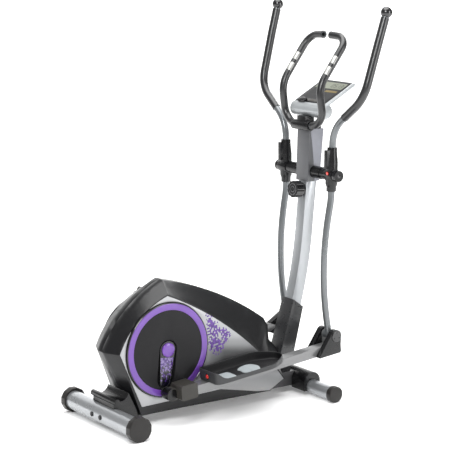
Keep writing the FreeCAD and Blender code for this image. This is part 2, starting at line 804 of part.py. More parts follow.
def handle_axle():
    """The shaft through the mast, its sleeves and its end caps."""
    hub_inner = side_offset - hub_half_width
    hub_outer = side_offset + hub_half_width
    shaft = cross_rod(pivot_x, pivot_height, handle_axle_radius, -hub_outer - moving_gap,
                      hub_outer + moving_gap)
    pieces = [shaft]
    sleeve_end = hub_inner - moving_gap
    step = sleeve_end - outer_sleeve_length
    inner = cross_ring(pivot_x, pivot_height, inner_sleeve_radius, handle_axle_radius, cover_half_width, step)
    outer = cross_ring(pivot_x, pivot_height, outer_sleeve_radius, handle_axle_radius, step, sleeve_end)
    pieces += both_sides(inner.fuse(outer).removeSplitter())
    cap_start = hub_outer + moving_gap
    pieces += both_sides(cross_rod(pivot_x, pivot_height, axle_cap_radius, cap_start,
                                   cap_start + axle_cap_depth))
    return pieces


# ---- Fixed handlebar and console ----
def bar_points():
    """Corners of the left half of the fixed bar, from the clamp to its upper end."""
    return [Vector(mast_top_x + ahead, out, mast_top_height + rise) for ahead, out, rise in bar_corners]


def bar_route():
    """Corners and bend radii of the whole fixed bar, from its right end to its left end."""
    left = bar_points()
    right = [Vector(point.x, -point.y, point.z) for point in reversed(left)]
    return right + left, list(reversed(bar_radii)) + bar_radii


def fixed_handlebar():
    """One bent tube, closed across the clamp and open at the top."""
    points, radii = bar_route()
    return bent_tube(points, radii, bar_radius, bar_wall)


def bar_sleeve(first, start_share, last, end_share, radius, shift):
    """A rod round the left bar from a share of one run to a share of a later run, moved by a shift."""
    corners = bar_points()
    start = between(corners[first], corners[first + 1], start_share)
    end = between(corners[last], corners[last + 1], end_share)
    points = [start] + corners[first + 1:last + 1] + [end]
    radii = bar_radii[first + 1:last + 1]
    return bent_rod([point + shift for point in points], radii, radius)


def sensor_plates():
    """The two bare metal plates on the left bar, on the side that faces the user."""
    rearward = Vector(-sensor_shift, 0, 0)
    plates = []
    run = sensor_run
    for start_share, end_share in sensor_shares:
        sleeve = bar_sleeve(run, start_share, run, end_share, bar_grip_radius, still)
        sleeve = sleeve.cut(bar_sleeve(run, start_share, run, end_share, bar_radius, still))
        plates.append(sleeve.common(bar_sleeve(run, start_share, run, end_share, bar_grip_radius, rearward)))
    return plates


def fixed_grips():
    """Foam over each side of the bar, from the clamp to the open end, with room for the plates."""
    last = len(bar_corners) - 2
    foam = bar_sleeve(0, foam_start_share, last, foam_end_share, bar_grip_radius, still)
    foam = foam.cut(bar_sleeve(0, foam_start_share, last, foam_end_share, bar_radius, still))
    return both_sides(foam.cut(Part.makeCompound(sensor_plates())))


def pulse_sensors():
    """The plates of both sides."""
    pieces = []
    for plate in sensor_plates():
        pieces += both_sides(plate)
    return pieces


def handlebar_clamp():
    """The round clamp on the bar, its plate on the mast and the post under the console."""
    bar = bar_points()[0]
    clamp = cross_rod(bar.x, bar.z, clamp_radius, -clamp_half_width, clamp_half_width)
    front = mast_top_x + mast_half_width
    plate_half = mast_half_width + clamp_plate_room
    plate = block(bar.x, front, -plate_half, plate_half, cover_top, mast_top_height + clamp_plate_height)
    post_top = console_nose()[1] - console_nose_radius + console_post_rise
    post = block(bar.x - console_post_rear, bar.x + console_post_front, -console_post_half_width,
                 console_post_half_width, mast_top_height, post_top)
    whole = clamp.fuse(plate).fuse(post).removeSplitter()
    whole = whole.cut(mast_solid(mast_half_width, mast_half_width, cover_bottom, mast_top_height))
    whole = whole.cut(cover_block())
    whole = whole.cut(console_form(0))
    points, radii = bar_route()
    return whole.cut(bent_rod(points, radii, bar_radius))


def console_nose():
    """Middle of the console's round rear edge."""
    return mast_top_x + console_nose_lead, mast_top_height + console_nose_rise


def console_place(along, above):
    """A place on the console, along the screen's slope and above its surface."""
    slope = math.radians(console_slope)
    nose_x, nose_z = console_nose()
    rise = console_nose_radius + above
    x = nose_x + along * math.cos(slope) - rise * math.sin(slope)
    z = nose_z + along * math.sin(slope) + rise * math.cos(slope)
    return x, z


def console_form(shrink):
    """The console's solid side-view form: a round nose with a flat plate rising from it."""
    top_start = console_place(0, -shrink)
    top_end = console_place(console_length - shrink, -shrink)
    low_end = console_place(console_length - shrink, shrink - console_edge)
    nose_x, nose_z = console_nose()
    radius = console_nose_radius - shrink
    meeting_rise = console_nose_radius - console_edge + shrink
    meeting = console_place(math.sqrt(radius ** 2 - meeting_rise ** 2), shrink - console_edge)
    back_turn = math.radians(console_nose_back)
    back = (nose_x + radius * math.cos(back_turn), nose_z + radius * math.sin(back_turn))
    half = console_half_width - shrink
    return side_plate(top_start, [top_end, low_end, meeting, back + top_start], -half, half)


def tilted_block(along_from, along_to, y_from, y_to, above_from, above_to):
    """A box that lies on the slope of the screen."""
    corners = [console_place(along_from, above_from), console_place(along_to, above_from),
               console_place(along_to, above_to), console_place(along_from, above_to)]
    return polygon_plate(corners, y_from, y_to)


def key_middle(index):
    """The place of a key across the machine."""
    return (index - (key_count - 1) / 2) * key_pitch


def console_body():
    """The console's hollow case, with a seat for the screen and a hole for each key."""
    case = console_form(0).cut(console_form(console_wall))
    seat = tilted_block(screen_start, screen_start + screen_length, -screen_half_width, screen_half_width,
                        -screen_thickness, screen_thickness)
    case = case.cut(seat)
    for index in range(key_count):
        middle = key_middle(index)
        gap = key_side_gap
        hole = tilted_block(key_centre - key_half_length - gap, key_centre + key_half_length + gap,
                            middle - key_half_width - gap, middle + key_half_width + gap,
                            -2 * console_wall, console_wall)
        case = case.cut(hole)
    return case


def console_screen():
    """The clear plate over the display."""
    return tilted_block(screen_start, screen_start + screen_length, -screen_half_width, screen_half_width,
                        -screen_thickness, 0)


def console_key(index):
    """One key cap in its hole."""
    middle = key_middle(index)
    return tilted_block(key_centre - key_half_length, key_centre + key_half_length, middle - key_half_width,
                        middle + key_half_width, -key_height, key_travel + key_proud)


# ---- Feet ----
def rear_leveller():
    """The many-sided cap on the left end of the rear stabilizer."""
    radius = rear_cap_apothem / math.cos(math.pi / cap_sides)
    inner_face = rear_cap_face - rear_cap_length
    corners = []
    for index in range(cap_sides):
        angle = 2 * math.pi * (index + 0.5) / cap_sides
        corners.append((rear_foot_x + cap_cam_offset + radius * math.cos(angle),
                        rear_foot_z + radius * math.sin(angle)))
    cap = polygon_plate(corners, inner_face, rear_cap_face)
    depth = inner_face + cap_skirt_depth + moving_gap
    bore = cross_rod(rear_foot_x, rear_foot_z, rear_tube_radius + running_fit, inner_face, depth)
    return cap.cut(bore)


def front_roller():
    """The transport roller on the left end of the front stabilizer."""
    inner_face = front_roller_face - front_roller_length
    roller = cross_rod(front_foot_x, front_foot_z, front_roller_radius, inner_face, front_roller_face)
    bore = cross_rod(front_foot_x, front_foot_z, roller_spindle_radius + running_fit, inner_face,
                     front_roller_face - foot_tube_wall + moving_gap)
    return roller.cut(bore)


# ---- Crank set and drive ----
def pin_place(side):
    """Middle of a crank pin at rest: the left pin is opposite the right one."""
    angle = math.radians(crank_phase)
    return side * crank_radius * math.sin(angle), crank_height + side * crank_radius * math.cos(angle)


def crank_axle():
    """The axle through the bearings that carries both cranks."""
    return cross_rod(0, crank_height, axle_radius - running_fit, -crank_outer_face, crank_outer_face)


def crank(side):
    """A crank arm: tapered plate, spigot through the casing, and boss for the pin."""
    pin_x, pin_z = pin_place(side)
    arm = obround(0, crank_height, crank_hub_radius, pin_x, pin_z, crank_tip_radius, crank_inner_face,
                  crank_outer_face)
    boss = cross_rod(pin_x, pin_z, crank_boss_radius, crank_outer_face, crank_boss_face)
    spigot = cross_rod(0, crank_height, crank_spigot_radius, fork_left_face + 2 * fork_thickness,
                       crank_inner_face)
    bore = cross_rod(0, crank_height, axle_radius - running_fit, 0, crank_outer_face)
    piece = arm.fuse(boss).fuse(spigot).removeSplitter().cut(bore)
    if side < 0:
        return right_of(piece)
    return piece


def crank_disc(side):
    """The round disc that turns with a crank, with a channel that the crank lies in."""
    pin_x, pin_z = pin_place(side)
    share = channel_reach / crank_radius
    wide_x = pin_x * share
    wide_z = crank_height + (pin_z - crank_height) * share
    disc = cross_rod(0, crank_height, disc_radius, disc_inner_face, disc_outer_face)
    channel = obround(0, crank_height, channel_half_width, wide_x, wide_z, channel_half_width,
                      crank_inner_face, disc_outer_face)
    tip_half_width = crank_tip_radius + channel_tip_gap
    tip = obround(0, crank_height, tip_half_width, pin_x, pin_z, tip_half_width, crank_inner_face,
                  disc_outer_face)
    hole = cross_rod(0, crank_height, crank_spigot_radius, disc_inner_face, crank_inner_face)
    piece = disc.cut(channel.fuse(tip)).cut(hole)
    if side < 0:
        return right_of(piece)
    return piece


def drive_pulley():
    """The large grooved pulley on the crank axle."""
    face = belt_inner_face
    wheel = cross_rod(0, crank_height, pulley_radius + pulley_groove, face, face + belt_width)
    groove = cross_ring(0, crank_height, pulley_radius + 2 * pulley_groove, pulley_radius,
                        face + pulley_flange, face + belt_width - pulley_flange)
    bore = cross_rod(0, crank_height, axle_radius - running_fit, face, face + belt_width)
    wheel = wheel.cut(groove).cut(bore)
    spoke_gap = (pulley_radius + shell_radius) / 2
    for index in range(spoke_count):
        angle = 2 * math.pi * index / spoke_count
        hole = cross_rod(spoke_gap * math.cos(angle), crank_height + spoke_gap * math.sin(angle),
                         pulley_hole_radius, face, face + belt_width)
        wheel = wheel.cut(hole)
    return wheel


def flywheel():
    """The flywheel and its small pulley in one."""
    half = flywheel_half_width
    wheel = cross_rod(flywheel_x, flywheel_z, flywheel_radius, -half, half)
    pulley = cross_rod(flywheel_x, flywheel_z, flywheel_pulley_radius, half, belt_inner_face + belt_width)
    bore = cross_rod(flywheel_x, flywheel_z, axle_radius + running_fit, -half, belt_inner_face + belt_width)
    return wheel.fuse(pulley).cut(bore)


def belt_loop(grow):
    """The belt's path round both pulleys as a solid plate, grown outwards."""
    y_from = belt_inner_face + pulley_flange + belt_gap
    y_to = belt_inner_face + belt_width - pulley_flange - belt_gap
    return obround(0, crank_height, pulley_radius + grow, flywheel_x, flywheel_z,
                   flywheel_pulley_radius + grow, y_from, y_to)


def drive_belt():
    """The ribbed belt, clear of both pulleys by a hair."""
    return belt_loop(belt_gap + belt_thickness).cut(belt_loop(belt_gap))


def magnet_carrier():
    """The curved arm with magnets that swings towards the flywheel's rim."""
    inner = flywheel_radius + magnet_gap
    outer = inner + magnet_thickness
    half = flywheel_half_width
    start = math.radians(magnet_start_angle)
    end = math.radians(magnet_end_angle)
    middle = (start + end) / 2

    def rim(radius, angle):
        return flywheel_x + radius * math.cos(angle), flywheel_z + radius * math.sin(angle)

    outline = [rim(inner, middle) + rim(inner, end), rim(outer, end),
               rim(outer, middle) + rim(outer, start), rim(inner, start)]
    arm = side_plate(rim(inner, start), outline, -half, half)
    hinge_x, hinge_z = magnet_pivot()
    boss = cross_rod(hinge_x, hinge_z, magnet_pivot_radius, -half, half)
    bore = cross_rod(hinge_x, hinge_z, magnet_pivot_radius / 2 + running_fit, -half, half)
    return arm.fuse(boss).removeSplitter().cut(bore)


# ---- Arms, made on the left with the lower joint at its middle place ----
def joint_place(side):
    """The lower joint at rest, where the pedal's length and the arm's length meet."""
    pin_x, pin_z = pin_place(side)
    reach = math.hypot(pedal_joint_reach, pedal_joint_rise)
    span = math.hypot(pivot_x - pin_x, pivot_height - pin_z)
    along = (reach ** 2 - arm_link ** 2 + span ** 2) / (2 * span)
    away = math.sqrt(reach ** 2 - along ** 2)
    ux = (pivot_x - pin_x) / span
    uz = (pivot_height - pin_z) / span
    return pin_x + along * ux + away * uz, pin_z + along * uz - away * ux


def arm_turn(side):
    """Degrees that an arm turns about the handle axle from its middle place to its place at rest."""
    x, z = joint_place(side)
    at_rest = math.atan2(x - pivot_x, pivot_height - z)
    in_middle = math.asin(joint_lead / arm_link)
    return -math.degrees(at_rest - in_middle)


def place_arm(piece, side):
    """Puts a left arm piece on its side and turns it to its place at rest."""
    moved = piece.copy() if side > 0 else right_of(piece)
    moved.rotate(Vector(pivot_x, 0, pivot_height), y_axis, arm_turn(side))
    return moved


def lower_joint_middle():
    """The lower joint when the arm is at its middle place."""
    drop = math.sqrt(arm_link ** 2 - joint_lead ** 2)
    return Vector(pivot_x + joint_lead, side_offset, pivot_height - drop)


def lower_arm_route():
    """Corners and bend radii of the lower arm tube, from the hub to the lower joint."""
    top = Vector(pivot_x, side_offset, pivot_height - tube_end_gap)
    straight_end = Vector(pivot_x, side_offset, pivot_height - arm_straight)
    bend = Vector(pivot_x - arm_bow, side_offset, pivot_height - arm_bend_drop)
    return [top, straight_end, bend, lower_joint_middle()], [arm_start_radius, arm_bend_radius]


def lower_arm():
    """The bowed tube from the hub down to the eye at the lower joint."""
    foot = lower_joint_middle()
    points, radii = lower_arm_route()
    tube = bent_tube(points, radii, arm_tube_radius, arm_wall)
    inner = side_offset - eye_half_width
    outer = side_offset + eye_half_width
    tube = tube.cut(cross_rod(foot.x, foot.z, eye_radius, inner, outer))
    eye = cross_ring(foot.x, foot.z, eye_radius, joint_pin_radius + running_fit, inner, outer)
    return tube.fuse(eye).removeSplitter()


def upper_arm_points():
    """Corners of the left upper arm tube, from the hub to the end knob."""
    start = Vector(pivot_x, side_offset, pivot_height + tube_end_gap)
    return [start] + [Vector(pivot_x + ahead, side_offset + out, pivot_height + rise)
                      for ahead, out, rise in upper_arm_corners]


def upper_arm():
    """The bent tube from the hub out and up to the end knob."""
    return bent_tube(upper_arm_points(), upper_arm_radii, arm_tube_radius, arm_wall)


def arm_grip():
    """The foam over the upper arm tube."""
    corners = upper_arm_points()
    start = between(corners[1], corners[2], grip_start_share)
    run = corners[4] - corners[3]
    end = corners[4] - run.normalize() * (end_knob_radius - grip_end_overlap)
    points = [start, corners[2], corners[3], end]
    foam = bent_rod(points, upper_arm_radii[1:], grip_radius)
    foam = foam.cut(bent_rod(points, upper_arm_radii[1:], arm_tube_radius))
    return foam.cut(Part.makeSphere(end_knob_radius, corners[4]))


def arm_knob():
    """The glossy ball on the end of the upper arm."""
    ball = Part.makeSphere(end_knob_radius, upper_arm_points()[4])
    corners = upper_arm_points()
    run = (corners[4] - corners[3]).normalize()
    length = 2 * end_knob_radius
    return ball.cut(Part.makeCylinder(arm_tube_radius, length, corners[4] - run * length, run))


def arm_hub():
    """The moulded sleeve that joins both arm tubes and turns on the handle axle."""
    low_step = hub_collar_length - hub_bottom
    high_step = hub_top - hub_collar_length
    axis = [(0, -hub_bottom), (hub_collar_radius, -hub_bottom), (hub_collar_radius, low_step),
            (hub_belly_radius, low_step + hub_shoulder), (hub_belly_radius, high_step - hub_upper_taper),
            (hub_collar_radius, high_step), (hub_collar_radius, hub_top), (0, hub_top)]
    outline = [Vector(pivot_x + radius, side_offset, pivot_height + rise) for radius, rise in axis]
    face = Part.Face(Part.makePolygon(outline + [outline[0]]))
    sleeve = face.revolve(Vector(pivot_x, side_offset, 0), Vector(0, 0, 1), 360)
    inner = side_offset - hub_half_width
    outer = side_offset + hub_half_width
    boss = cross_rod(pivot_x, pivot_height, hub_boss_radius, inner, outer)
    rib_rear = pivot_x - hub_belly_radius - rib_depth
    rib = block(rib_rear, pivot_x - hub_belly_radius / 2, side_offset - rib_half_width,
                side_offset + rib_half_width, pivot_height + rib_rise - rib_half_height,
                pivot_height + rib_rise + rib_half_height)
    hub = sleeve.fuse(boss).fuse(rib).removeSplitter()
    points, radii = lower_arm_route()
    hub = hub.cut(bent_rod(points, radii, arm_tube_radius))
    hub = hub.cut(bent_rod(upper_arm_points(), upper_arm_radii, arm_tube_radius))
    return hub.cut(cross_rod(pivot_x, pivot_height, handle_axle_radius + running_fit, inner, outer))


# ---- Pedals, made on the left with the crank pin at the origin and the tube along X ----
def pedal_tilt(side):
    """Degrees that a pedal's front end is above level at rest."""
    pin_x, pin_z = pin_place(side)
    x, z = joint_place(side)
    line = math.degrees(math.atan2(z - pin_z, x - pin_x))
    return line - math.degrees(math.atan2(pedal_joint_rise, pedal_joint_reach))


def place_pedal(piece, side):
    """Puts a left pedal piece on its side at its place at rest."""
    moved = piece.copy() if side > 0 else right_of(piece)
    moved.rotate(origin, y_axis, -pedal_tilt(side))
    pin_x, pin_z = pin_place(side)
    moved.translate(Vector(pin_x, 0, pin_z))
    return moved


def pedal_tube_outside():
    """The outside of the flat pedal tube."""
    half = pedal_tube_half_width
    return block(pedal_tube_start, pedal_joint_reach + pedal_tube_overhang, side_offset - half,
                 side_offset + half, -pedal_tube_half_height, pedal_tube_half_height)


def pedal_tube():
    """The flat tube with a fork plate on each side of its front end."""
    half = pedal_tube_half_width
    wall = pedal_tube_wall
    inside = block(pedal_tube_start, pedal_joint_reach + pedal_tube_overhang - wall,
                   side_offset - half + wall, side_offset + half - wall, wall - pedal_tube_half_height,
                   pedal_tube_half_height - wall)
    tube = pedal_tube_outside().cut(inside)
    for y_from in (side_offset - half, side_offset + half - fork_plate):
        tube = tube.fuse(obround(pedal_joint_reach, 0, fork_eye_radius, pedal_joint_reach,
                                 pedal_joint_rise, fork_eye_radius, y_from, y_from + fork_plate))
    pin = cross_rod(pedal_joint_reach, pedal_joint_rise, joint_pin_radius, side_offset - 2 * half,
                    side_offset + 2 * half)
    return tube.removeSplitter().cut(pin)


def pedal_bearing():
    """The moulded block round the crank pin that holds the rear end of the tube."""
    blank = block(bearing_rear, bearing_front, bearing_inner_face, bearing_outer_face,
                  bearing_rise - bearing_half_height, bearing_rise + bearing_half_height)
    edges = [edge for edge in blank.Edges if abs(edge.tangentAt(0).y) > 0.9]
    blank = blank.makeFillet(bearing_corner, edges)
    inner = washer_inner_face + washer_thickness + slip_gap
    housing = cross_rod(0, 0, housing_radius, inner, housing_outer_face)
    web = block(0, bearing_rear, bearing_inner_face, housing_outer_face, -housing_radius, housing_radius)
    pin = cross_rod(0, 0, crank_pin_radius, inner, housing_outer_face - pin_cover)
    return blank.fuse(housing).fuse(web).removeSplitter().cut(pedal_tube_outside()).cut(pin)


def pedal_pins():
    """The crank pin with its washer, and the pin of the lower joint."""
    washer = cross_rod(0, 0, washer_radius, washer_inner_face, washer_inner_face + washer_thickness)
    pin = cross_rod(0, 0, crank_pin_radius, washer_inner_face, housing_outer_face - pin_cover)
    joint = cross_rod(pedal_joint_reach, pedal_joint_rise, joint_pin_radius,
                      joint_cover_inner + joint_pin_inset, joint_cover_outer - joint_pin_inset)
    return [pin.fuse(washer).removeSplitter(), joint]


def tray_blank(inset, bottom):
    """The tray's rounded plan, inset by a wall, as a tall block."""
    x_from = tray_start + inset
    x_to = tray_end - inset
    y_from = tray_inner_face + inset
    y_to = tray_outer_face - inset
    middle = (x_from + x_to) / 2
    blank = block(x_from, x_to, y_from, y_to, bottom, pedal_tube_half_height + tray_rear_height)
    front = [edge for edge in blank.Edges
             if abs(edge.tangentAt(0).z) > 0.9 and edge.CenterOfMass.x > middle]
    blank = blank.makeFillet(tray_corner - inset, front)
    rear = [edge for edge in blank.Edges
            if abs(edge.tangentAt(0).z) > 0.9 and edge.CenterOfMass.x < middle]
    return blank.makeFillet(tray_rear_corner - inset, rear)


def foot_tray():
    """The foot platform: a floor with a tall rear and inner wall and a low outer wall."""
    base = pedal_tube_half_height
    tray = tray_blank(0, base).cut(tray_blank(tray_wall, base + tray_floor))
    top = base + tray_rear_height
    outer = block(tray_start + tray_corner, tray_end, tray_outer_face - tray_corner, tray_outer_face,
                  base + tray_outer_height, top)
    front = block(tray_end - tray_corner, tray_end, tray_inner_face, tray_outer_face,
                  base + tray_front_height, top)
    inner = block(tray_start + tray_corner, tray_end, tray_inner_face, tray_inner_face + tray_corner,
                  base + tray_inner_height, top)
    wedge = polygon_plate([(tray_start + tray_wall, top), (tray_start + tray_corner, top),
                           (tray_start + tray_corner, base + tray_outer_height)],
                          tray_outer_face - tray_corner, tray_outer_face)
    return tray.cut(outer).cut(front).cut(inner).cut(wedge)


def joint_cover():
    """A moulded cover on each side of the lower joint."""
    base = -pedal_tube_half_height
    x = pedal_joint_reach
    z = pedal_joint_rise
    r = joint_cover_radius
    tail = x - joint_cover_tail
    front = x + pedal_tube_overhang
    slope_x = r * math.cos(math.radians(joint_cover_slope))
    slope_z = r * math.sin(math.radians(joint_cover_slope))
    corner = joint_cover_corner
    outline = [(x, z + r, x + r, z), (front, pedal_tube_half_height), (front, base + corner),
               (front - corner, base), (tail, base), (tail, base + corner), (x + slope_x, z + slope_z)]
    pieces = []
    for y_from, y_to in ((joint_cover_inner, side_offset - pedal_tube_half_width),
                         (side_offset + pedal_tube_half_width, joint_cover_outer)):
        plate = side_plate((x + slope_x, z + slope_z), outline, y_from, y_to)
        pin = cross_rod(x, z, joint_pin_radius, joint_cover_inner + joint_pin_inset,
                        joint_cover_outer - joint_pin_inset)
        pieces.append(plate.cut(pin))
    return pieces


# ---- Gather, centre and write ----
def as_shape(made):
    """A list of separate solids becomes one group."""
    if isinstance(made, list):
        return Part.makeCompound(made)
    return made


def all_nodes():
    """Every node by name."""
    nodes = {
        "main_frame": main_frame(), "rear_stabilizer": rear_stabilizer(),
        "front_stabilizer": front_stabilizer(), "stabilizer_bolts": foot_bolts(),
        "rear_neck_cover": rear_neck_cover(), "front_neck_cover": front_neck_cover(),
        "mast": mast(), "mast_boot": mast_boot(), "mast_cover_rear": mast_cover_rear(),
        "mast_cover_front": mast_cover_front(), "casing_left": casing_half(),
        "casing_right": right_of(casing_half()), "side_panels": both_sides(side_panel()),
        "crank_bearings": crank_bearings(), "flywheel_axle": flywheel_axle(), "drive_belt": drive_belt(),
        "tension_base": tension_base(), "tension_knob": tension_knob(), "handle_axle": handle_axle(),
        "fixed_handlebar": fixed_handlebar(), "fixed_grips": fixed_grips(),
        "pulse_sensors": pulse_sensors(), "handlebar_clamp": handlebar_clamp(),
        "console_body": console_body(), "console_screen": console_screen(),
        "crank_axle": crank_axle(), "drive_pulley": drive_pulley(), "flywheel": flywheel(),
        "magnet_carrier": magnet_carrier(), "rear_leveller_left": rear_leveller(),
        "rear_leveller_right": right_of(rear_leveller()), "front_roller_left": front_roller(),
        "front_roller_right": right_of(front_roller()),
    }
    for index in range(key_count):
        nodes["console_key_" + str(index + 1)] = console_key(index)
    for name, side in (("left", 1), ("right", -1)):
        nodes["crank_" + name] = crank(side)
        nodes["crank_disc_" + name] = crank_disc(side)
        nodes["pedal_tube_" + name] = place_pedal(pedal_tube(), side)
        nodes["pedal_bearing_" + name] = place_pedal(pedal_bearing(), side)
        nodes["pedal_pins_" + name] = place_pedal(as_shape(pedal_pins()), side)
        nodes["foot_tray_" + name] = place_pedal(foot_tray(), side)
        nodes["joint_cover_" + name] = place_pedal(as_shape(joint_cover()), side)
        nodes["lower_arm_" + name] = place_arm(lower_arm(), side)
        nodes["arm_hub_" + name] = place_arm(arm_hub(), side)
        nodes["upper_arm_" + name] = place_arm(upper_arm(), side)
        nodes["arm_grip_" + name] = place_arm(arm_grip(), side)
        nodes["arm_knob_" + name] = place_arm(arm_knob(), side)
    return {name: as_shape(made) for name, made in nodes.items()}


def write_nodes():
    """Moves the machine so that the middle of its box is over the origin, and writes every node."""
    os.makedirs("parts", exist_ok=True)
    nodes = all_nodes()
    boxes = [shape.optimalBoundingBox(False, False) for shape in nodes.values()]
    middle_x = (min(box.XMin for box in boxes) + max(box.XMax for box in boxes)) / 2
    for name, shape in nodes.items():
        shape.translate(Vector(-middle_x, 0, 0))
        shape.exportStep("parts/" + name + ".step")
    print("nodes", len(nodes), "crank axle x", round(-middle_x, 3))


write_nodes()
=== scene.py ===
import json
import math

import bmesh
import bpy
import numpy as np
from mathutils import Matrix, Vector


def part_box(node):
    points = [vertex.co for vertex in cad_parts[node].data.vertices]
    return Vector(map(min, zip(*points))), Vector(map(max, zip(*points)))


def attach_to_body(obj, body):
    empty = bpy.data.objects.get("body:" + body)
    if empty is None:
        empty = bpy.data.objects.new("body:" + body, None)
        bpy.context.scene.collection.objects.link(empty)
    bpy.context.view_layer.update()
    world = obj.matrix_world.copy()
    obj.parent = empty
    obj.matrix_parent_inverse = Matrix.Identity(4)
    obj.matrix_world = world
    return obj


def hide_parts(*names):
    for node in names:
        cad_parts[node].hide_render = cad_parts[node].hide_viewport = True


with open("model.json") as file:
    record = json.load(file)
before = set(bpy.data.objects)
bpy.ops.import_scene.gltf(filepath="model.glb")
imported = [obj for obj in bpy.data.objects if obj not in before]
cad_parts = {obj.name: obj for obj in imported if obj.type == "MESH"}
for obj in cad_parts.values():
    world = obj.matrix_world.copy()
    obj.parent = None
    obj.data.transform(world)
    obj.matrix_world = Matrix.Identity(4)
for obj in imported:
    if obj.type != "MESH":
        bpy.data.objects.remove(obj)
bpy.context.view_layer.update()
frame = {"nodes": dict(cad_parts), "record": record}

SIDES = (("left", 1.0), ("right", -1.0))

# ---- Sizes of the machine that the looks are laid out by, in metres ----
CRANK_RADIUS = 0.165
CRANK_PHASE = math.radians(6.0)
JOINT_RISE = 0.055
JOINT_REACH = 0.7745
DISC_FACE = 0.096
SIDE_OFFSET = 0.150
TRAY_START, TRAY_END = 0.150, 0.505
TRAY_INNER, TRAY_OUTER = 0.104, 0.244
TUBE_TOP = 0.0175
HOUSING_START, HOUSING_END = 0.1065, 0.1527
HOUSING_RADIUS = 0.0244
HUB_HALF = 0.025
CAP_RADIUS = 0.0228
CONSOLE_SLOPE = math.radians(28.0)
CONSOLE_HALF = 0.102
CONSOLE_LENGTH = 0.178
CONSOLE_EDGE = 0.016
NOSE_RADIUS = 0.030
DISPLAY_ALONG = 0.112, 0.158
DISPLAY_HALF = 0.084
RING_MIDDLE, RING_HALF = 0.1695, 0.0125
CRANK_FACE = 0.093
BOSS_TOP = 0.101
HUB_CAP_RADIUS = 0.0275
KNOB_FACE = 0.0495
TRAY_WALL, TRAY_FLOOR, TRAY_RIM = 0.0042, 0.004, 0.0021
TRAY_MIDDLE = (TRAY_START + TRAY_END) / 2
TRAY_CENTRE = (TRAY_INNER + TRAY_OUTER) / 2

# ---- Trim colours, and the corners of the side panel's coloured patch, from the crank's centre ----
PURPLE = (0.135, 0.048, 0.32)
DEEP_PURPLE = (0.055, 0.022, 0.15)
PATCH = [(0.300, 0.012), (0.240, -0.052), (0.202, -0.030), (0.183, 0.112)]

# ---- Where the camera stands and looks ----
CAMERA_AZIMUTH, CAMERA_RISE = math.radians(-35.5), math.radians(10.8)
CAMERA_TARGET = Vector((0.0172, 0.0, 0.7234))
CAMERA_DISTANCE = 6.5636

# ---- How wide the soft edges of the shells are ----
SOFT_EDGES = {
    "casing_left": 0.006, "casing_right": 0.006, "mast_boot": 0.005, "mast_cover_front": 0.003,
    "rear_neck_cover": 0.004, "front_neck_cover": 0.004, "handlebar_clamp": 0.002,
    "front_roller_left": 0.003, "front_roller_right": 0.003, "side_panels": 0.0006, "main_frame": 0.001,
    "console_key_1": 0.0012, "console_key_2": 0.0012, "console_key_3": 0.0012,
}

slot_of = {row["node"]: row["material_slot"] for row in frame["record"]["subparts"]}
joints = {joint["name"]: joint for joint in frame["record"]["behaviour"]["joints"]}


def joint_place(name):
    """A joint's place at rest."""
    return Vector(joints[name]["pos_m"])


crank_centre = joint_place("crank_turn")
pivot = joint_place("arm_left_swing")


# ---------------------------------------------------------------- meshes
def mesh_piece(name, points, faces, material, crease=40.0):
    """A piece from points and faces. Doubles are merged, faces turned outwards, and edges sharper than
    the crease angle stay sharp."""
    mesh = bpy.data.meshes.new(name)
    mesh.from_pydata(np.asarray(points, dtype=float).reshape(-1, 3).tolist(), [], faces)
    work = bmesh.new()
    work.from_mesh(mesh)
    bmesh.ops.remove_doubles(work, verts=work.verts, dist=1e-6)
    bmesh.ops.dissolve_degenerate(work, edges=work.edges, dist=1e-7)
    bmesh.ops.recalc_face_normals(work, faces=work.faces)
    work.to_mesh(mesh)
    work.free()
    mesh.polygons.foreach_set("use_smooth", np.ones(len(mesh.polygons), dtype=bool))
    mesh.set_sharp_from_angle(angle=math.radians(crease))
    piece = bpy.data.objects.new(name, mesh)
    bpy.context.scene.collection.objects.link(piece)
    mesh.materials.append(material)
    return piece


def grid_faces(rows, columns, closed=False):
    """Quads between neighbours of a grid of points. A closed grid joins its last column to its first."""
    row = np.arange(rows - 1)
    column = np.arange(columns if closed else columns - 1)
    r, c = np.meshgrid(row, column, indexing="ij")
    r2, c2 = r + 1, (c + 1) % columns
    quads = np.stack([r * columns + c, r * columns + c2, r2 * columns + c2, r2 * columns + c], axis=-1)
    return quads.reshape(-1, 4).tolist()


def grid_piece(name, points, material, closed=False, crease=40.0):
    """A surface through a grid of points."""
    rows, columns = points.shape[:2]
    return mesh_piece(name, points, grid_faces(rows, columns, closed), material, crease)


def frame_of(axis, hint=(0.0, 0.0, 1.0)):
    """Two unit directions across an axis, from cross products with a hint, and the axis: right-handed."""
    axis = np.asarray(axis, dtype=float)
    axis = axis / np.linalg.norm(axis)
    hint = np.asarray(hint, dtype=float)
    if abs(np.dot(axis, hint)) > 0.9:
        hint = np.array([1.0, 0.0, 0.0])
    first = np.cross(hint, axis)
    first = first / np.linalg.norm(first)
    return first, np.cross(axis, first), axis


def turned(name, profile, centre, axis, material, steps=64, crease=40.0):
    """A surface of revolution: each profile point (radius, along) goes round the axis in equal steps."""
    profile = np.asarray(profile, dtype=float)
    first, second, axis = frame_of(axis)
    angle = np.linspace(0.0, 2 * np.pi, steps, endpoint=False)
    ring = np.cos(angle)[:, None] * first + np.sin(angle)[:, None] * second
    points = (np.asarray(centre)[None, None] + profile[:, 0, None, None] * ring[None]
              + profile[:, 1, None, None] * axis[None, None])
    return grid_piece(name, points, material, closed=True, crease=crease)


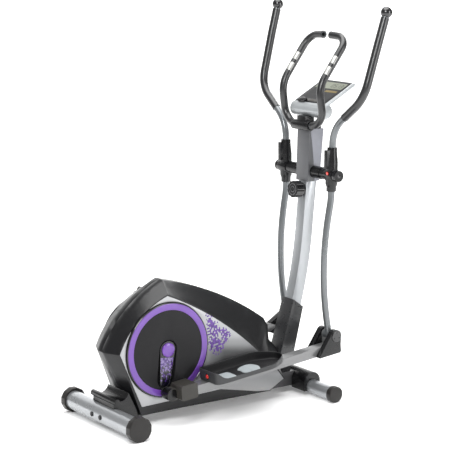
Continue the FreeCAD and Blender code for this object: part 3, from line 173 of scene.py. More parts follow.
def rounded_profile(radius, depth, edge, inner=0.0, steps=6):
    """A disc's or ring's section (radius, along), closed back to its start: both outer corners are quarter
    circles of the edge's radius."""
    turn = np.linspace(0.0, np.pi / 2, steps)
    low = np.stack([radius - edge + edge * np.sin(turn), edge - edge * np.cos(turn)], axis=1)
    high = np.stack([radius - edge + edge * np.cos(turn), depth - edge + edge * np.sin(turn)], axis=1)
    return np.concatenate([[(inner, 0.0)], low, high, [(inner, depth)], [(inner, 0.0)]])


def moved(piece, matrix):
    """Applies a placement to a piece's mesh, so that its object stays at the origin."""
    piece.data.transform(matrix)
    if matrix.determinant() < 0:
        piece.data.flip_normals()
    return piece


def attach(piece, body, slot=None, *nodes):
    """The piece rides on a body and stands for CAD nodes; the slot is not used."""
    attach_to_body(piece, body)
    if nodes:
        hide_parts(*nodes)
    return piece


def body_with(node):
    """The body that holds a node."""
    bodies = frame["record"]["behaviour"]["bodies"]
    return next(body for body, nodes in bodies.items() if node in nodes)


def softened(node, material, width, angle=35.0):
    """A copy of a CAD piece, merged, with its edges rounded over a width, which stands for it."""
    source = frame["nodes"][node]
    mesh = source.data.copy()
    work = bmesh.new()
    work.from_mesh(mesh)
    bmesh.ops.remove_doubles(work, verts=work.verts, dist=2e-5)
    bmesh.ops.dissolve_limit(work, angle_limit=math.radians(0.5), verts=work.verts, edges=work.edges)
    work.to_mesh(mesh)
    work.free()
    piece = bpy.data.objects.new(node + "_shell", mesh)
    bpy.context.scene.collection.objects.link(piece)
    mesh.materials.clear()
    mesh.materials.append(material)
    mesh.polygons.foreach_set("use_smooth", np.ones(len(mesh.polygons), dtype=bool))
    bevel = piece.modifiers.new("edges", "BEVEL")
    bevel.width = width
    bevel.segments = 3
    bevel.limit_method = "ANGLE"
    bevel.angle_limit = math.radians(angle)
    bevel.harden_normals = True
    bevel.miter_outer = "MITER_ARC"
    return attach(piece, body_with(node), slot_of[node], node)


# ---------------------------------------------------------------- materials
class Finish:
    """A node material that is built step by step on Object coordinates."""

    def __init__(self, name, colour, roughness, metallic=0.0, coat=0.0, coat_roughness=0.1, specular=0.5):
        self.material = bpy.data.materials.new(name)
        self.material.use_nodes = True
        self.tree = self.material.node_tree
        self.shader = self.tree.nodes["Principled BSDF"]
        self.place = self.tree.nodes.new("ShaderNodeTexCoord").outputs["Object"]
        self.shader.inputs["Base Color"].default_value = (*colour, 1.0)
        self.shader.inputs["Roughness"].default_value = roughness
        self.shader.inputs["Metallic"].default_value = metallic
        self.shader.inputs["Coat Weight"].default_value = coat
        self.shader.inputs["Coat Roughness"].default_value = coat_roughness
        self.shader.inputs["Specular IOR Level"].default_value = specular
        self.colour = colour
        self.height = None

    def node(self, kind, **inputs):
        """A node with some inputs set or linked. An input is given by its name, or by _ and its number."""
        made = self.tree.nodes.new("ShaderNode" + kind)
        for key, value in inputs.items():
            socket = made.inputs[int(key[1:])] if key[0] == "_" else made.inputs[key.replace("_", " ")]
            if isinstance(value, bpy.types.NodeSocket):
                self.tree.links.new(value, socket)
            else:
                socket.default_value = value
        return made

    def maths(self, operation, first, second=0.0):
        """The result of one operation on sockets or numbers."""
        made = self.node("Math", _0=first, _1=second)
        made.operation = operation
        return made.outputs[0]

    def noise(self, scale, detail=3.0, roughness=0.5, stretch=(1.0, 1.0, 1.0), turn=(0.0, 0.0, 0.0)):
        """Noise of a feature size, with its own stretch."""
        mapping = self.node("Mapping", Vector=self.place)
        mapping.inputs["Scale"].default_value = stretch
        mapping.inputs["Rotation"].default_value = turn
        made = self.node("TexNoise", Vector=mapping.outputs[0], Scale=1.0 / scale, Detail=detail,
                         Roughness=roughness)
        return made.outputs[0]

    def spread(self, value, low, high):
        """A value of 0 to 1 carried to a range."""
        made = self.node("MapRange", Value=value)
        made.inputs["To Min"].default_value = low
        made.inputs["To Max"].default_value = high
        return made.outputs[0]

    def span(self, value, start, end):
        """A value's share of the way from a start to an end."""
        made = self.node("MapRange", Value=value)
        made.inputs["From Min"].default_value = start
        made.inputs["From Max"].default_value = end
        return made.outputs[0]

    def blend(self, factor, first, second):
        """A colour between two colours or colour sockets."""
        made = self.tree.nodes.new("ShaderNodeMix")
        made.data_type = "RGBA"
        for socket, value in ((made.inputs[0], factor), (made.inputs[6], first), (made.inputs[7], second)):
            if isinstance(value, bpy.types.NodeSocket):
                self.tree.links.new(value, socket)
            else:
                socket.default_value = value
        return made.outputs[2]

    def tint(self, value, amount):
        """Colour that varies up and down by an amount with a value."""
        low = tuple(part * (1.0 - amount) for part in self.colour) + (1.0,)
        high = tuple(min(1.0, part * (1.0 + amount)) for part in self.colour) + (1.0,)
        self.link(self.blend(value, low, high), "Base Color")

    def link(self, output, name):
        """Drives an input of the shader."""
        self.tree.links.new(output, self.shader.inputs[name])

    def bump(self, value, depth, strength=1.0):
        """Relief of a real depth in metres, laid over any relief before it."""
        made = self.node("Bump", Height=value, Strength=strength, Distance=depth)
        if self.height is not None:
            self.tree.links.new(self.height, made.inputs["Normal"])
        self.height = made.outputs[0]
        self.link(self.height, "Normal")


def moulded(name, colour, roughness, grain=0.0012, depth=0.00008, coat=0.0, specular=0.35):
    """Moulded plastic: fine spark-eroded grain, cloudy gloss and a slight drift of colour."""
    made = Finish(name, colour, roughness, coat=coat, coat_roughness=0.2, specular=specular)
    cloud = made.noise(0.06, 4.0)
    made.tint(cloud, 0.14)
    made.link(made.spread(made.noise(0.02, 3.0), roughness - 0.05, roughness + 0.07), "Roughness")
    made.bump(made.noise(grain, 2.0), depth)
    return made.material


def painted(name, colour, roughness, metallic):
    """Silver paint over steel: flake in the colour, orange peel and a thin clear coat."""
    made = Finish(name, colour, roughness, metallic, coat=0.35, coat_roughness=0.12)
    flake = made.noise(0.0008, 1.0)
    cloud = made.noise(0.10, 3.0)
    made.tint(made.maths("MULTIPLY", made.maths("ADD", flake, cloud), 0.5), 0.10)
    made.link(made.spread(cloud, roughness - 0.04, roughness + 0.08), "Roughness")
    made.bump(made.noise(0.0035, 2.0), 0.00006)
    return made.material


def foam(name):
    """Closed cell foam: fine pores, a dull skin and a soft sheen."""
    made = Finish(name, (0.006, 0.0062, 0.0072), 0.30, coat=0.35, coat_roughness=0.22, specular=0.6)
    made.shader.inputs["Sheen Weight"].default_value = 0.06
    made.shader.inputs["Sheen Roughness"].default_value = 0.4
    made.tint(made.noise(0.03, 4.0), 0.22)
    pores = made.node("TexVoronoi", Vector=made.place, Scale=700.0)
    made.bump(pores.outputs[0], 0.00025, 0.6)
    made.bump(made.noise(0.004, 3.0), 0.0003, 0.5)
    return made.material


def ball_gloss(name):
    """Polished black plastic with faint hairline wear."""
    made = Finish(name, (0.006, 0.006, 0.007), 0.12, coat=0.6, coat_roughness=0.04)
    wear = made.noise(0.012, 5.0)
    made.tint(wear, 0.25)
    made.link(made.spread(wear, 0.08, 0.2), "Roughness")
    made.bump(made.noise(0.02, 2.0), 0.00004)
    return made.material


def plated(name):
    """Bright plating with fine polishing marks."""
    made = Finish(name, (0.78, 0.79, 0.81), 0.14, 1.0)
    marks = made.noise(0.0015, 2.0, stretch=(1.0, 8.0, 1.0))
    made.tint(marks, 0.05)
    made.link(made.spread(marks, 0.09, 0.22), "Roughness")
    made.bump(marks, 0.00002)
    return made.material


def turned_metal(name, colour, roughness):
    """Machined or ground metal with close tool marks."""
    made = Finish(name, colour, roughness, 1.0)
    marks = made.noise(0.0008, 3.0, stretch=(1.0, 0.1, 1.0))
    made.tint(marks, 0.12)
    made.link(made.spread(marks, roughness - 0.08, roughness + 0.1), "Roughness")
    made.bump(marks, 0.00003)
    return made.material


def coloured_gloss(name, colour):
    """Coloured moulded trim: satin clear skin over pigmented plastic."""
    made = Finish(name, colour, 0.28, coat=0.35, coat_roughness=0.1)
    made.tint(made.noise(0.08, 4.0), 0.16)
    made.bump(made.noise(0.0016, 2.0), 0.00005)
    return made.material


def cell_value(made, cell, turn):
    """A random number for each square cell on the side view: the place from the crank's centre is turned
    and divided by the cell's size, and its whole numbers seed the number. The cell's row comes with it."""
    centred = made.node("Mapping", Vector=made.place)
    centred.inputs["Location"].default_value = (-crank_centre.x, 0.0, -crank_centre.z)
    leaning = made.node("Mapping", Vector=centred.outputs[0])
    leaning.inputs["Rotation"].default_value = (0.0, turn, 0.0)
    split = made.node("SeparateXYZ", Vector=leaning.outputs[0])
    across = made.maths("FLOOR", made.maths("DIVIDE", split.outputs[0], cell))
    row = made.maths("FLOOR", made.maths("DIVIDE", split.outputs[2], cell))
    joined = made.node("CombineXYZ", X=across, Y=row)
    return made.node("TexWhiteNoise", Vector=joined.outputs[0]).outputs[0], row


def panel_reflection_bands(made, right, up):
    """Painted reflection: grey bands by height, leaning a little forward: light at the foot, dark under the
    middle, light on top. Towards the disc the painted reflection fades to one mid grey."""
    slant = made.maths("ADD", up, made.maths("MULTIPLY", right, 0.12))
    ramp = made.node("ValToRGB", Fac=made.span(slant, -0.20, 0.22))
    stops = ((0.0, 0.34), (0.18, 0.24), (0.30, 0.06), (0.42, 0.08), (0.52, 0.24), (0.60, 0.36), (1.0, 0.42))
    line = ramp.color_ramp
    line.interpolation = "EASE"
    line.elements[0].position, line.elements[0].color = stops[0][0], (stops[0][1],) * 3 + (1.0,)
    line.elements[1].position, line.elements[1].color = stops[-1][0], (stops[-1][1],) * 3 + (1.0,)
    for place, grey in stops[1:-1]:
        stop = line.elements.new(place)
        stop.color = (grey * 0.98, grey, grey * 1.02, 1.0)
    return made.blend(made.span(right, 0.27, 0.13), ramp.outputs[0], (0.40, 0.405, 0.415, 1.0))


def patch_chance(made, right, up):
    """How likely a coloured square is: it grows with the depth inside each edge of the patch, and falls
    towards the front."""
    fade = 0.030
    chance = made.maths("SUBTRACT", 0.82, made.maths("MULTIPLY", made.maths("SUBTRACT", right, 0.20), 2.6))
    for (from_x, from_z), (to_x, to_z) in zip(PATCH, PATCH[1:] + PATCH[:1]):
        run_x, run_z = to_x - from_x, to_z - from_z
        length = math.hypot(run_x, run_z)
        ahead = made.maths("MULTIPLY", made.maths("SUBTRACT", right, from_x), run_z / length)
        above = made.maths("MULTIPLY", made.maths("SUBTRACT", up, from_z), -run_x / length)
        depth = made.maths("DIVIDE", made.maths("ADD", ahead, above), fade)
        chance = made.maths("MINIMUM", chance, made.maths("ADD", 0.42, depth))
    return chance


def side_panel_finish():
    """Brushed silver panel: painted reflection bands of light and dark grey, fine slanting brushing, and
    small coloured squares ahead of the disc wherever a cell's random number is below the patch's chance."""
    made = Finish("panel_silver", (0.56, 0.57, 0.58), 0.36, 0.35, coat=0.15, coat_roughness=0.2)
    split = made.node("SeparateXYZ", Vector=made.place)
    right = made.maths("SUBTRACT", split.outputs[0], crank_centre.x)
    up = made.maths("SUBTRACT", split.outputs[2], crank_centre.z)
    brushing = made.noise(0.0012, 2.0, stretch=(0.06, 1.0, 1.0), turn=(0.0, math.radians(-38.0), 0.0))
    # The painted reflection bands, darkened along the brushing.
    grey = made.blend(made.maths("MULTIPLY", brushing, 0.22), panel_reflection_bands(made, right, up),
                      (0.20, 0.20, 0.21, 1.0))
    spot, _ = cell_value(made, 0.0062, math.radians(8.0))
    square = made.maths("LESS_THAN", spot, patch_chance(made, right, up))
    shade = made.blend(made.maths("FRACT", made.maths("MULTIPLY", spot, 57.0)), (*PURPLE, 1.0),
                       (*DEEP_PURPLE, 1.0))
    made.link(made.blend(square, grey, shade), "Base Color")
    made.link(made.spread(square, 0.35, 0.05), "Metallic")
    made.link(made.spread(brushing, 0.30, 0.42), "Roughness")
    made.bump(brushing, 0.00003)
    return made.material


def inlay_finish(side):
    """Crank inlay: small squares in two violets near the hub. A square turns black where its random number
    and its distance from the hub together pass a limit, so the tip is black."""
    made = Finish("crank_inlay_" + side, PURPLE, 0.22, coat=0.5, coat_roughness=0.08)
    spot, row = cell_value(made, 0.0058, CRANK_PHASE)
    drop = made.maths("DIVIDE", made.maths("ABSOLUTE", row), 24.0)
    dark = made.maths("GREATER_THAN", made.maths("ADD", made.maths("MULTIPLY", spot, 0.62), drop), 0.93)
    light = made.maths("GREATER_THAN", made.maths("FRACT", made.maths("MULTIPLY", spot, 31.0)), 0.5)
    violet = made.blend(light, (*DEEP_PURPLE, 1.0), (0.17, 0.12, 0.30, 1.0))
    made.link(made.blend(dark, violet, (0.004, 0.003, 0.010, 1.0)), "Base Color")
    made.bump(made.noise(0.0012, 2.0), 0.00004)
    return made.material


def display_finish():
    """Liquid crystal display: grey green with a faint grid of cells."""
    made = Finish("display", (0.15, 0.165, 0.12), 0.35, coat=0.15, coat_roughness=0.08, specular=0.3)
    cells = made.node("TexBrick", Vector=made.place, Scale=260.0)
    cells.inputs["Color1"].default_value = (0.15, 0.165, 0.12, 1.0)
    cells.inputs["Color2"].default_value = (0.17, 0.185, 0.14, 1.0)
    cells.inputs["Mortar"].default_value = (0.13, 0.145, 0.105, 1.0)
    made.link(made.blend(made.noise(0.05, 2.0), cells.outputs[0], (0.19, 0.205, 0.155, 1.0)), "Base Color")
    return made.material


def reflector_painted_glow_finish():
    """Red reflector: small prisms behind a clear red face, with a faint painted glow."""
    made = Finish("reflector_red", (0.55, 0.02, 0.015), 0.15, coat=1.0, coat_roughness=0.03)
    prisms = made.node("TexVoronoi", Vector=made.place, Scale=500.0)
    made.link(made.blend(prisms.outputs[0], (0.75, 0.05, 0.03, 1.0), (0.25, 0.01, 0.01, 1.0)), "Base Color")
    # A faint painted glow: the reflector is no lamp.
    made.shader.inputs["Emission Color"].default_value = (0.9, 0.05, 0.03, 1.0)
    made.shader.inputs["Emission Strength"].default_value = 0.25
    made.bump(prisms.outputs[0], 0.0003, 0.5)
    return made.material


finish = {
    "frame_steel": painted("frame_steel", (0.07, 0.07, 0.073), 0.40, 0.2),
    # The darker of two copies of one silver paint; the mast's copy is lighter: painted light and shade.
    "silver_paint": painted("silver_paint", (0.15, 0.16, 0.167), 0.27, 0.5),
    "foot_tube": painted("foot_tube", (0.42, 0.435, 0.45), 0.27, 0.72),
    "casing_black": moulded("casing_black", (0.0062, 0.0063, 0.0072), 0.30, specular=0.4),
    "panel_silver": side_panel_finish(),
    "trim_black": moulded("trim_black", (0.004, 0.004, 0.0046), 0.24, specular=0.45),
    "boot_grey": moulded("boot_grey", (0.022, 0.0225, 0.024), 0.28, specular=0.6),
    # The lighter copy of the covers' grey: painted light.
    "cover_grey": moulded("cover_grey", (0.24, 0.245, 0.275), 0.34),
    "disc_black": moulded("disc_black", (0.011, 0.0108, 0.012), 0.45, grain=0.0008, specular=0.2),
    "crank_steel": moulded("crank_steel", (0.010, 0.010, 0.012), 0.22, coat=0.4),
    "chrome": plated("chrome"),
    "bearing_steel": turned_metal("bearing_steel", (0.55, 0.55, 0.57), 0.3),
    "iron": turned_metal("iron", (0.22, 0.22, 0.23), 0.45),
    "pulley_plastic": moulded("pulley_plastic", (0.05, 0.05, 0.05), 0.5),
    "belt": moulded("belt", (0.015, 0.015, 0.015), 0.7),
    "magnet_steel": turned_metal("magnet_steel", (0.3, 0.3, 0.32), 0.4),
    "foam": foam("foam"),
    "knob_gloss": ball_gloss("knob_gloss"),
    "console_silver": painted("console_silver", (0.40, 0.42, 0.43), 0.32, 0.45),
    "screen": moulded("bezel", (0.005, 0.005, 0.006), 0.30, grain=0.0006, depth=0.00002, specular=0.2),
    "key_rubber": moulded("key_rubber", (0.055, 0.05, 0.045), 0.6),
    "cap_grey": moulded("cap_grey", (0.017, 0.0155, 0.0145), 0.40),
    # Mid grey, lighter than the tray's black plastic: painted light on its outer wall.
    "tray_black": moulded("tray_black", (0.040, 0.041, 0.043), 0.40, grain=0.0018, depth=0.0002),
}
purple = coloured_gloss("purple_trim", PURPLE)
# The lighter copy of the arms' silver paint, for the mast: painted light.
mast_lit_silver = painted("mast_lit_silver", (0.36, 0.375, 0.39), 0.30, 0.6)
plate_satin = turned_metal("plate_satin", (0.46, 0.46, 0.44), 0.42)
lever_taupe = moulded("lever_taupe", (0.035, 0.033, 0.029), 0.36)
pedal_silver = painted("pedal_silver", (0.20, 0.202, 0.204), 0.30, 0.5)
screw_dark = turned_metal("screw_dark", (0.03, 0.03, 0.032), 0.4)
# A darker copy of the covers' grey, for the rear cover: painted shade.
cover_painted_shade = moulded("cover_painted_shade", (0.095, 0.097, 0.103), 0.33, specular=0.5)
pad_grey = moulded("pad_grey", (0.30, 0.33, 0.34), 0.5, grain=0.0016, depth=0.0001)
# A near-black copy of the tray's colour for its inner walls, floor and mat: painted shade.
tray_inside_painted_shade = moulded("tray_inside_painted_shade", (0.006, 0.006, 0.007), 0.5, grain=0.0018, depth=0.0002, specular=0.3)
display = display_finish()
digit_ink = moulded("digit_ink", (0.02, 0.025, 0.02), 0.3)
key_field = moulded("key_field", (0.02, 0.018, 0.014), 0.3, coat=0.4)
mark_gold = moulded("mark_gold", (0.16, 0.115, 0.03), 0.4)
reflector = reflector_painted_glow_finish()
for name, slot in slot_of.items():
    mesh = frame["nodes"][name].data
    mesh.materials.clear()
    mesh.materials.append(finish[slot])


# ---------------------------------------------------------------- softened shells
for name, width in SOFT_EDGES.items():
    softened(name, finish[slot_of[name]], width)
softened("mast", mast_lit_silver, 0.004)
softened("pulse_sensors", plate_satin, 0.0008)
softened("stabilizer_bolts", screw_dark, 0.0006)
# The rear cover takes the darker copy of the covers' grey: painted shade.
softened("mast_cover_rear", cover_painted_shade, 0.0045)
for side, _ in SIDES:
    softened("rear_leveller_" + side, finish["cap_grey"], 0.003, angle=20.0)
    softened("pedal_bearing_" + side, lever_taupe, 0.004)
    softened("pedal_tube_" + side, pedal_silver, 0.002)
    softened("joint_cover_" + side, finish["trim_black"], 0.004)
    softened("crank_" + side, finish["crank_steel"], 0.002)
    softened("crank_disc_" + side, finish["disc_black"], 0.0015)
    softened("arm_hub_" + side, finish["trim_black"], 0.0025)


# ---------------------------------------------------------------- crank trim
def crank_directions(sign):
    """Along a crank towards its pin, and across it, at rest."""
    along = Vector((sign * math.sin(CRANK_PHASE), 0.0, sign * math.cos(CRANK_PHASE)))
    return along, Vector((along.z, 0.0, -along.x))


def crank_pin(sign, out):
    """A place on a crank pin's axis at rest, so far out from the machine's middle."""
    pin = crank_centre + crank_directions(sign)[0] * CRANK_RADIUS
    return Vector((pin.x, sign * out, pin.z))


def grid_points(centre, first, second, third, along, across, up):
    """Points from three directions and the distances along them."""
    return (np.asarray(centre) + along[..., None] * np.asarray(first) + across[..., None] * np.asarray(second)
            + up[..., None] * np.asarray(third))


def closed_slab(name, top, under, material):
    """Two like grids, one over the other, joined by a band of quads round their edge."""
    rows, columns = top.shape[:2]
    count = rows * columns
    quads = grid_faces(rows, columns)
    lower = [[a + count, d + count, c + count, b + count] for a, b, c, d in quads]
    index = np.arange(count).reshape(rows, columns)
    edge = np.concatenate([index[0, :-1], index[:-1, -1], index[-1, :0:-1], index[:0:-1, 0]])
    following = np.roll(edge, -1)
    sides = np.stack([edge, following, following + count, edge + count], axis=1).tolist()
    points = np.concatenate([top.reshape(-1, 3), under.reshape(-1, 3)])
    return mesh_piece(name, points, quads + lower + sides, material)


def disc_trim(side, sign):
    """Two rings turned about the crank axle: a coloured one whose section is the square root of a half
    sine, and a thin chamfered rim round it. Both sink a little into the disc's face."""
    sink, lift = 0.0006, 0.0016
    base = Vector((crank_centre.x, sign * (DISC_FACE - sink), crank_centre.z))
    turn = np.linspace(0.0, np.pi, 14)
    start, end = RING_MIDDLE - RING_HALF, RING_MIDDLE + RING_HALF
    bead = np.stack([RING_MIDDLE - RING_HALF * np.cos(turn), sink + lift * np.sin(turn) ** 0.5], axis=1)
    section = np.concatenate([[(start, 0.0)], bead, [(end, 0.0)], [(start, 0.0)]])
    attach(turned("disc_ring_" + side, section, base, (0, sign, 0), purple, 160), "crankset")
    start, end, chamfer, height = 0.1822, 0.1858, 0.0010, 0.0022
    rim = [(start, 0.0), (start, height - chamfer), (start + chamfer, height), (end - chamfer, height),
           (end, height - chamfer), (end, 0.0), (start, 0.0)]
    attach(turned("disc_rim_" + side, rim, base, (0, sign, 0), finish["knob_gloss"], 160), "crankset",
           "knob_gloss")


def hub_cap(side, sign):
    """The coloured cap over the axle's end: a short cylinder with a quarter ellipse for its top."""
    wall, crown = 0.0055, 0.0045
    dome = np.linspace(0.0, np.pi / 2, 12)
    cap = np.stack([HUB_CAP_RADIUS * np.cos(dome), wall + crown * np.sin(dome)], axis=1)
    cap = np.concatenate([[(0.0, 0.0)], [(HUB_CAP_RADIUS, 0.0)], cap, [(0.0, wall + crown)]])
    centre = Vector((crank_centre.x, sign * (CRANK_FACE - 0.0003), crank_centre.z))
    attach(turned("hub_cap_" + side, cap, centre, (0, sign, 0), purple, 64), "crankset")


def crank_inlay(side, sign):
    """The patterned inlay on the crank, from the cap to the pin: its half width falls in a straight line
    and closes in a quarter ellipse, its near end follows the cap's circle, and its top is crowned by the
    sixth power of the distance from its middle line."""
    along, across = crank_directions(sign)
    centre = Vector((crank_centre.x, sign * (CRANK_FACE - 0.0003), crank_centre.z))
    reach = np.linspace(0.030, 0.143, 40)
    share = (reach - reach[0]) / (reach[-1] - reach[0])
    closing = np.sqrt(np.clip(1.0 - np.clip((share - 0.86) / 0.14, 0.0, 1.0) ** 2, 0.0, 1.0))
    width = (0.0300 - 0.0095 * share) * np.maximum(closing, 0.05)
    side_share = np.linspace(-1, 1, 25)[:, None]
    sideways = side_share * width[None]
    cap_clearance = 0.002
    cap_edge = np.sqrt(np.clip((HUB_CAP_RADIUS + cap_clearance) ** 2 - sideways ** 2, 0, None))
    reach = np.maximum(reach[None], cap_edge)
    crown = 0.0026 * (1.0 - np.abs(side_share) ** 6) * np.ones_like(width)[None]
    out = (0.0, sign, 0.0)
    top = grid_points(centre, along, across, out, reach, sideways, crown + 0.0005)
    under = grid_points(centre, along, across, out, reach, sideways, np.zeros_like(reach))
    attach(closed_slab("crank_inlay_" + side, top, under, inlay_finish(side)), "crankset")


def crank_washer(side, sign):
    """The bright washer on the crank's boss."""
    washer = rounded_profile(0.0165, 0.0012, 0.0005, 0.0108)
    attach(turned("crank_washer_" + side, washer, crank_pin(sign, BOSS_TOP - 0.0001), (0, sign, 0),
                  finish["chrome"], 48), "crankset", "chrome")


def pin_housing(side, sign):
    """The round black sleeve of the pedal bearing, on the crank pin."""
    profile = rounded_profile(HOUSING_RADIUS, HOUSING_END - HOUSING_START, 0.0035)
    attach(turned("pin_housing_" + side, profile, crank_pin(sign, HOUSING_START), (0, sign, 0),
                  finish["trim_black"], 64), "pedal_" + side, "trim_black")


for side, sign in SIDES:
    disc_trim(side, sign)
    hub_cap(side, sign)
    crank_inlay(side, sign)
    crank_washer(side, sign)
    pin_housing(side, sign)


# ---------------------------------------------------------------- foot trays
def pedal_matrix(side, sign):
    """From the pedal's own axes, with the crank pin at the origin and the tube along X, to its place at
    rest. The right one is the mirror image."""
    pin = crank_pin(sign, 0.0)
    joint = joint_place("pedal_" + side + "_pivot")
    tilt = math.atan2(joint.z - pin.z, joint.x - pin.x) - math.atan2(JOINT_RISE, JOINT_REACH)
    turn = Matrix.Rotation(-tilt, 4, "Y")
    mirror = Matrix.Diagonal((1.0, sign, 1.0, 1.0))
    return Matrix.Translation(pin) @ turn @ mirror


def eased(share):
    """A share of 0 to 1 with level ends."""
    share = np.clip(share, 0.0, 1.0)
    return share * share * (3 - 2 * share)


def superellipse(angle, power):
    """The unit superellipse of a power at an angle."""
    c, s = np.cos(angle), np.sin(angle)
    scale = (np.abs(c) ** power + np.abs(s) ** power) ** (-1.0 / power)
    return c * scale, s * scale


def tray_plan(angle, inset):
    """The tray's plan outline: a superellipse whose power falls from the square rear to the round front."""
    square, round_power = 9.0, 2.35
    x, y = superellipse(angle, square + (round_power - square) * eased(np.cos(angle) + 0.25))
    half_x = (TRAY_END - TRAY_START) / 2 - inset
    half_y = (TRAY_OUTER - TRAY_INNER) / 2 - inset
    return TRAY_MIDDLE + half_x * x, TRAY_CENTRE + half_y * y


def tray_height(x, y):
    """How tall the wall is: it eases from the inner side down to the outer one, rises to the rear along a
    bell curve, and goes over to the front's height along a parabola."""
    inner, outer, rear, front = 0.041, 0.019, 0.0475, 0.031
    along = np.clip((x - TRAY_START) / (TRAY_END - TRAY_START), 0.0, 1.0)
    side_wall = inner + (outer - inner) * eased((y - TRAY_INNER) / (TRAY_OUTER - TRAY_INNER))
    wall = side_wall + (rear - side_wall) * np.exp(-((along / 0.075) ** 2))
    return wall + (front - wall) * np.clip((along - 0.72) / 0.28, 0.0, 1.0) ** 2


def face_values(mesh, name):
    """The centre or the normal of each face."""
    values = np.empty(len(mesh.polygons) * 3)
    mesh.polygons.foreach_get(name, values)
    return values.reshape(-1, 3)


def tray_shell(side, body, place):
    """The tray: the wall's section, an inset and a level for each ring, goes up the outside, in a half
    circle over the rim, and down the inside to a quarter circle at the floor. Each ring is the plan at its
    inset. Faces that look inwards or lie on the floor are darker, painted shade, and the rest a mid grey,
    painted light."""
    angle = np.linspace(0.0, 2 * np.pi, 192, endpoint=False)
    height = tray_height(*tray_plan(angle, 0.0))
    half, draft, fillet, foot = TRAY_WALL / 2, 0.0015, 0.006, 0.003
    top, corner = height - TRAY_RIM, TRAY_FLOOR + fillet
    rings = [(0.012, 0.0), (0.004, 0.0002), (0.0012, 0.0022)]
    rings += [(0.0008 * (1 - share), foot + (top - foot) * share) for share in (0.12, 0.4, 0.7, 0.9)]
    rings += [(half - half * math.cos(turn), top + TRAY_RIM * math.sin(turn))
              for turn in np.linspace(0.0, np.pi, 9)]
    rings += [(TRAY_WALL + draft * (1 - share), corner + (top - corner) * share)
              for share in (0.9, 0.6, 0.35)]
    rings += [(TRAY_WALL + draft + fillet * (1 - math.cos(turn)), corner - fillet * math.sin(turn))
              for turn in np.linspace(0.15, np.pi / 2, 5)]
    still = np.zeros_like(angle)
    rows = [np.stack([*tray_plan(angle, inset), TUBE_TOP + level + still], axis=1) for inset, level in rings]
    under, over = (np.stack([TRAY_MIDDLE + still, SIDE_OFFSET + still, TUBE_TOP + level + still], axis=1)
                   for level in (0.0, TRAY_FLOOR))
    tray = grid_piece("tray_shell_" + side, np.array([under, *rows, over]), finish["tray_black"], True, 50.0)
    tray.data.materials.append(tray_inside_painted_shade)
    centre, normal = face_values(tray.data, "center"), face_values(tray.data, "normal")
    inward = (TRAY_MIDDLE - centre[:, 0]) * normal[:, 0] + (TRAY_CENTRE - centre[:, 1]) * normal[:, 1]
    above = centre[:, 2] - TUBE_TOP
    # Faces that take the painted shade: inward-looking walls and the floor.
    inside = (above > 0.0035) & ((inward > 0.01) | (above < 0.0105)) & (inward >= -0.01)
    tray.data.polygons.foreach_set("material_index", inside.astype(int))
    attach(moved(tray, place), body, "tray_black", "foot_tray_" + side)


def tray_mat(side, body, place):
    """The ribbed mat: the plan shrunk to its middle, with cross ribs that follow a rectified sine to the
    power one and a half and fade out at the edge."""
    angle = np.linspace(0.0, 2 * np.pi, 192, endpoint=False)
    share = np.linspace(0.0, 1.0, 90)[:, None]
    x, y = tray_plan(angle, 0.0135)
    gx = TRAY_MIDDLE + (x - TRAY_MIDDLE)[None] * share
    gy = TRAY_CENTRE + (y - TRAY_CENTRE)[None] * share
    rib = np.abs(np.sin(gx * np.pi / 0.0075)) ** 1.5
    fade = np.clip((1.0 - share) / 0.03, 0.0, 1.0)
    level = TUBE_TOP + TRAY_FLOOR - 0.0002 + fade * (0.0008 + 0.0011 * rib)
    # The mat takes the tray's painted shade copy.
    mat = grid_piece("tray_mat_" + side, np.stack([gx, gy, level], axis=-1), tray_inside_painted_shade, True, 180.0)
    attach(moved(mat, place), body, "tray_black")


def tray_light(side, body, place):
    """The round reflector in the tray's rear wall, and its seat."""
    centre = (TRAY_START + 0.0006, TRAY_CENTRE, TUBE_TOP + 0.024)
    dot = rounded_profile(0.0085, 0.0022, 0.0008)
    spot = turned("tray_reflector_" + side, dot, centre, (-1, 0, 0), reflector, 40)
    attach(moved(spot, place), body)
    ring = rounded_profile(0.0115, 0.0014, 0.0006, 0.0087)
    seat = turned("tray_reflector_seat_" + side, ring, centre, (-1, 0, 0), finish["trim_black"], 40)
    attach(moved(seat, place), body, "trim_black")


def pad(name, body, place, middle, half, power, flare, notch=0.0):
    """A low sole-shaped pad: a superellipse, wider at the front by the flare and pulled in by the notch,
    with a quarter circle for its edge and fine cross grooves on its top."""
    px, py = superellipse(np.linspace(0.0, 2 * np.pi, 96, endpoint=False), power)
    wide = 1.0 + (flare - 1.0) * px * 0.5
    px = px + notch * np.exp(-((py / 0.4) ** 2)) * (px < 0) - notch * np.clip(py, 0.0, 1.0) * (px > 0)
    share = np.concatenate([np.linspace(0.0, 0.9, 60), np.linspace(0.93, 1.0, 8)])[:, None]
    gx = middle[0] + half[0] * px[None] * share
    gy = middle[1] + half[1] * (py * wide)[None] * share
    edge = np.sqrt(np.clip(1.0 - np.clip((share - 0.9) / 0.1, 0.0, 1.0) ** 2, 0.0, 1.0))
    groove = 0.0005 * np.clip(np.cos(gx * 2 * np.pi / 0.009) * 6 - 5, 0.0, 1.0)
    level = TUBE_TOP + TRAY_FLOOR + 0.0046 * edge * np.ones_like(gx) - groove * edge
    piece = grid_piece(name, np.stack([gx, gy, level], axis=-1), pad_grey, True, 180.0)
    attach(moved(piece, place), body)


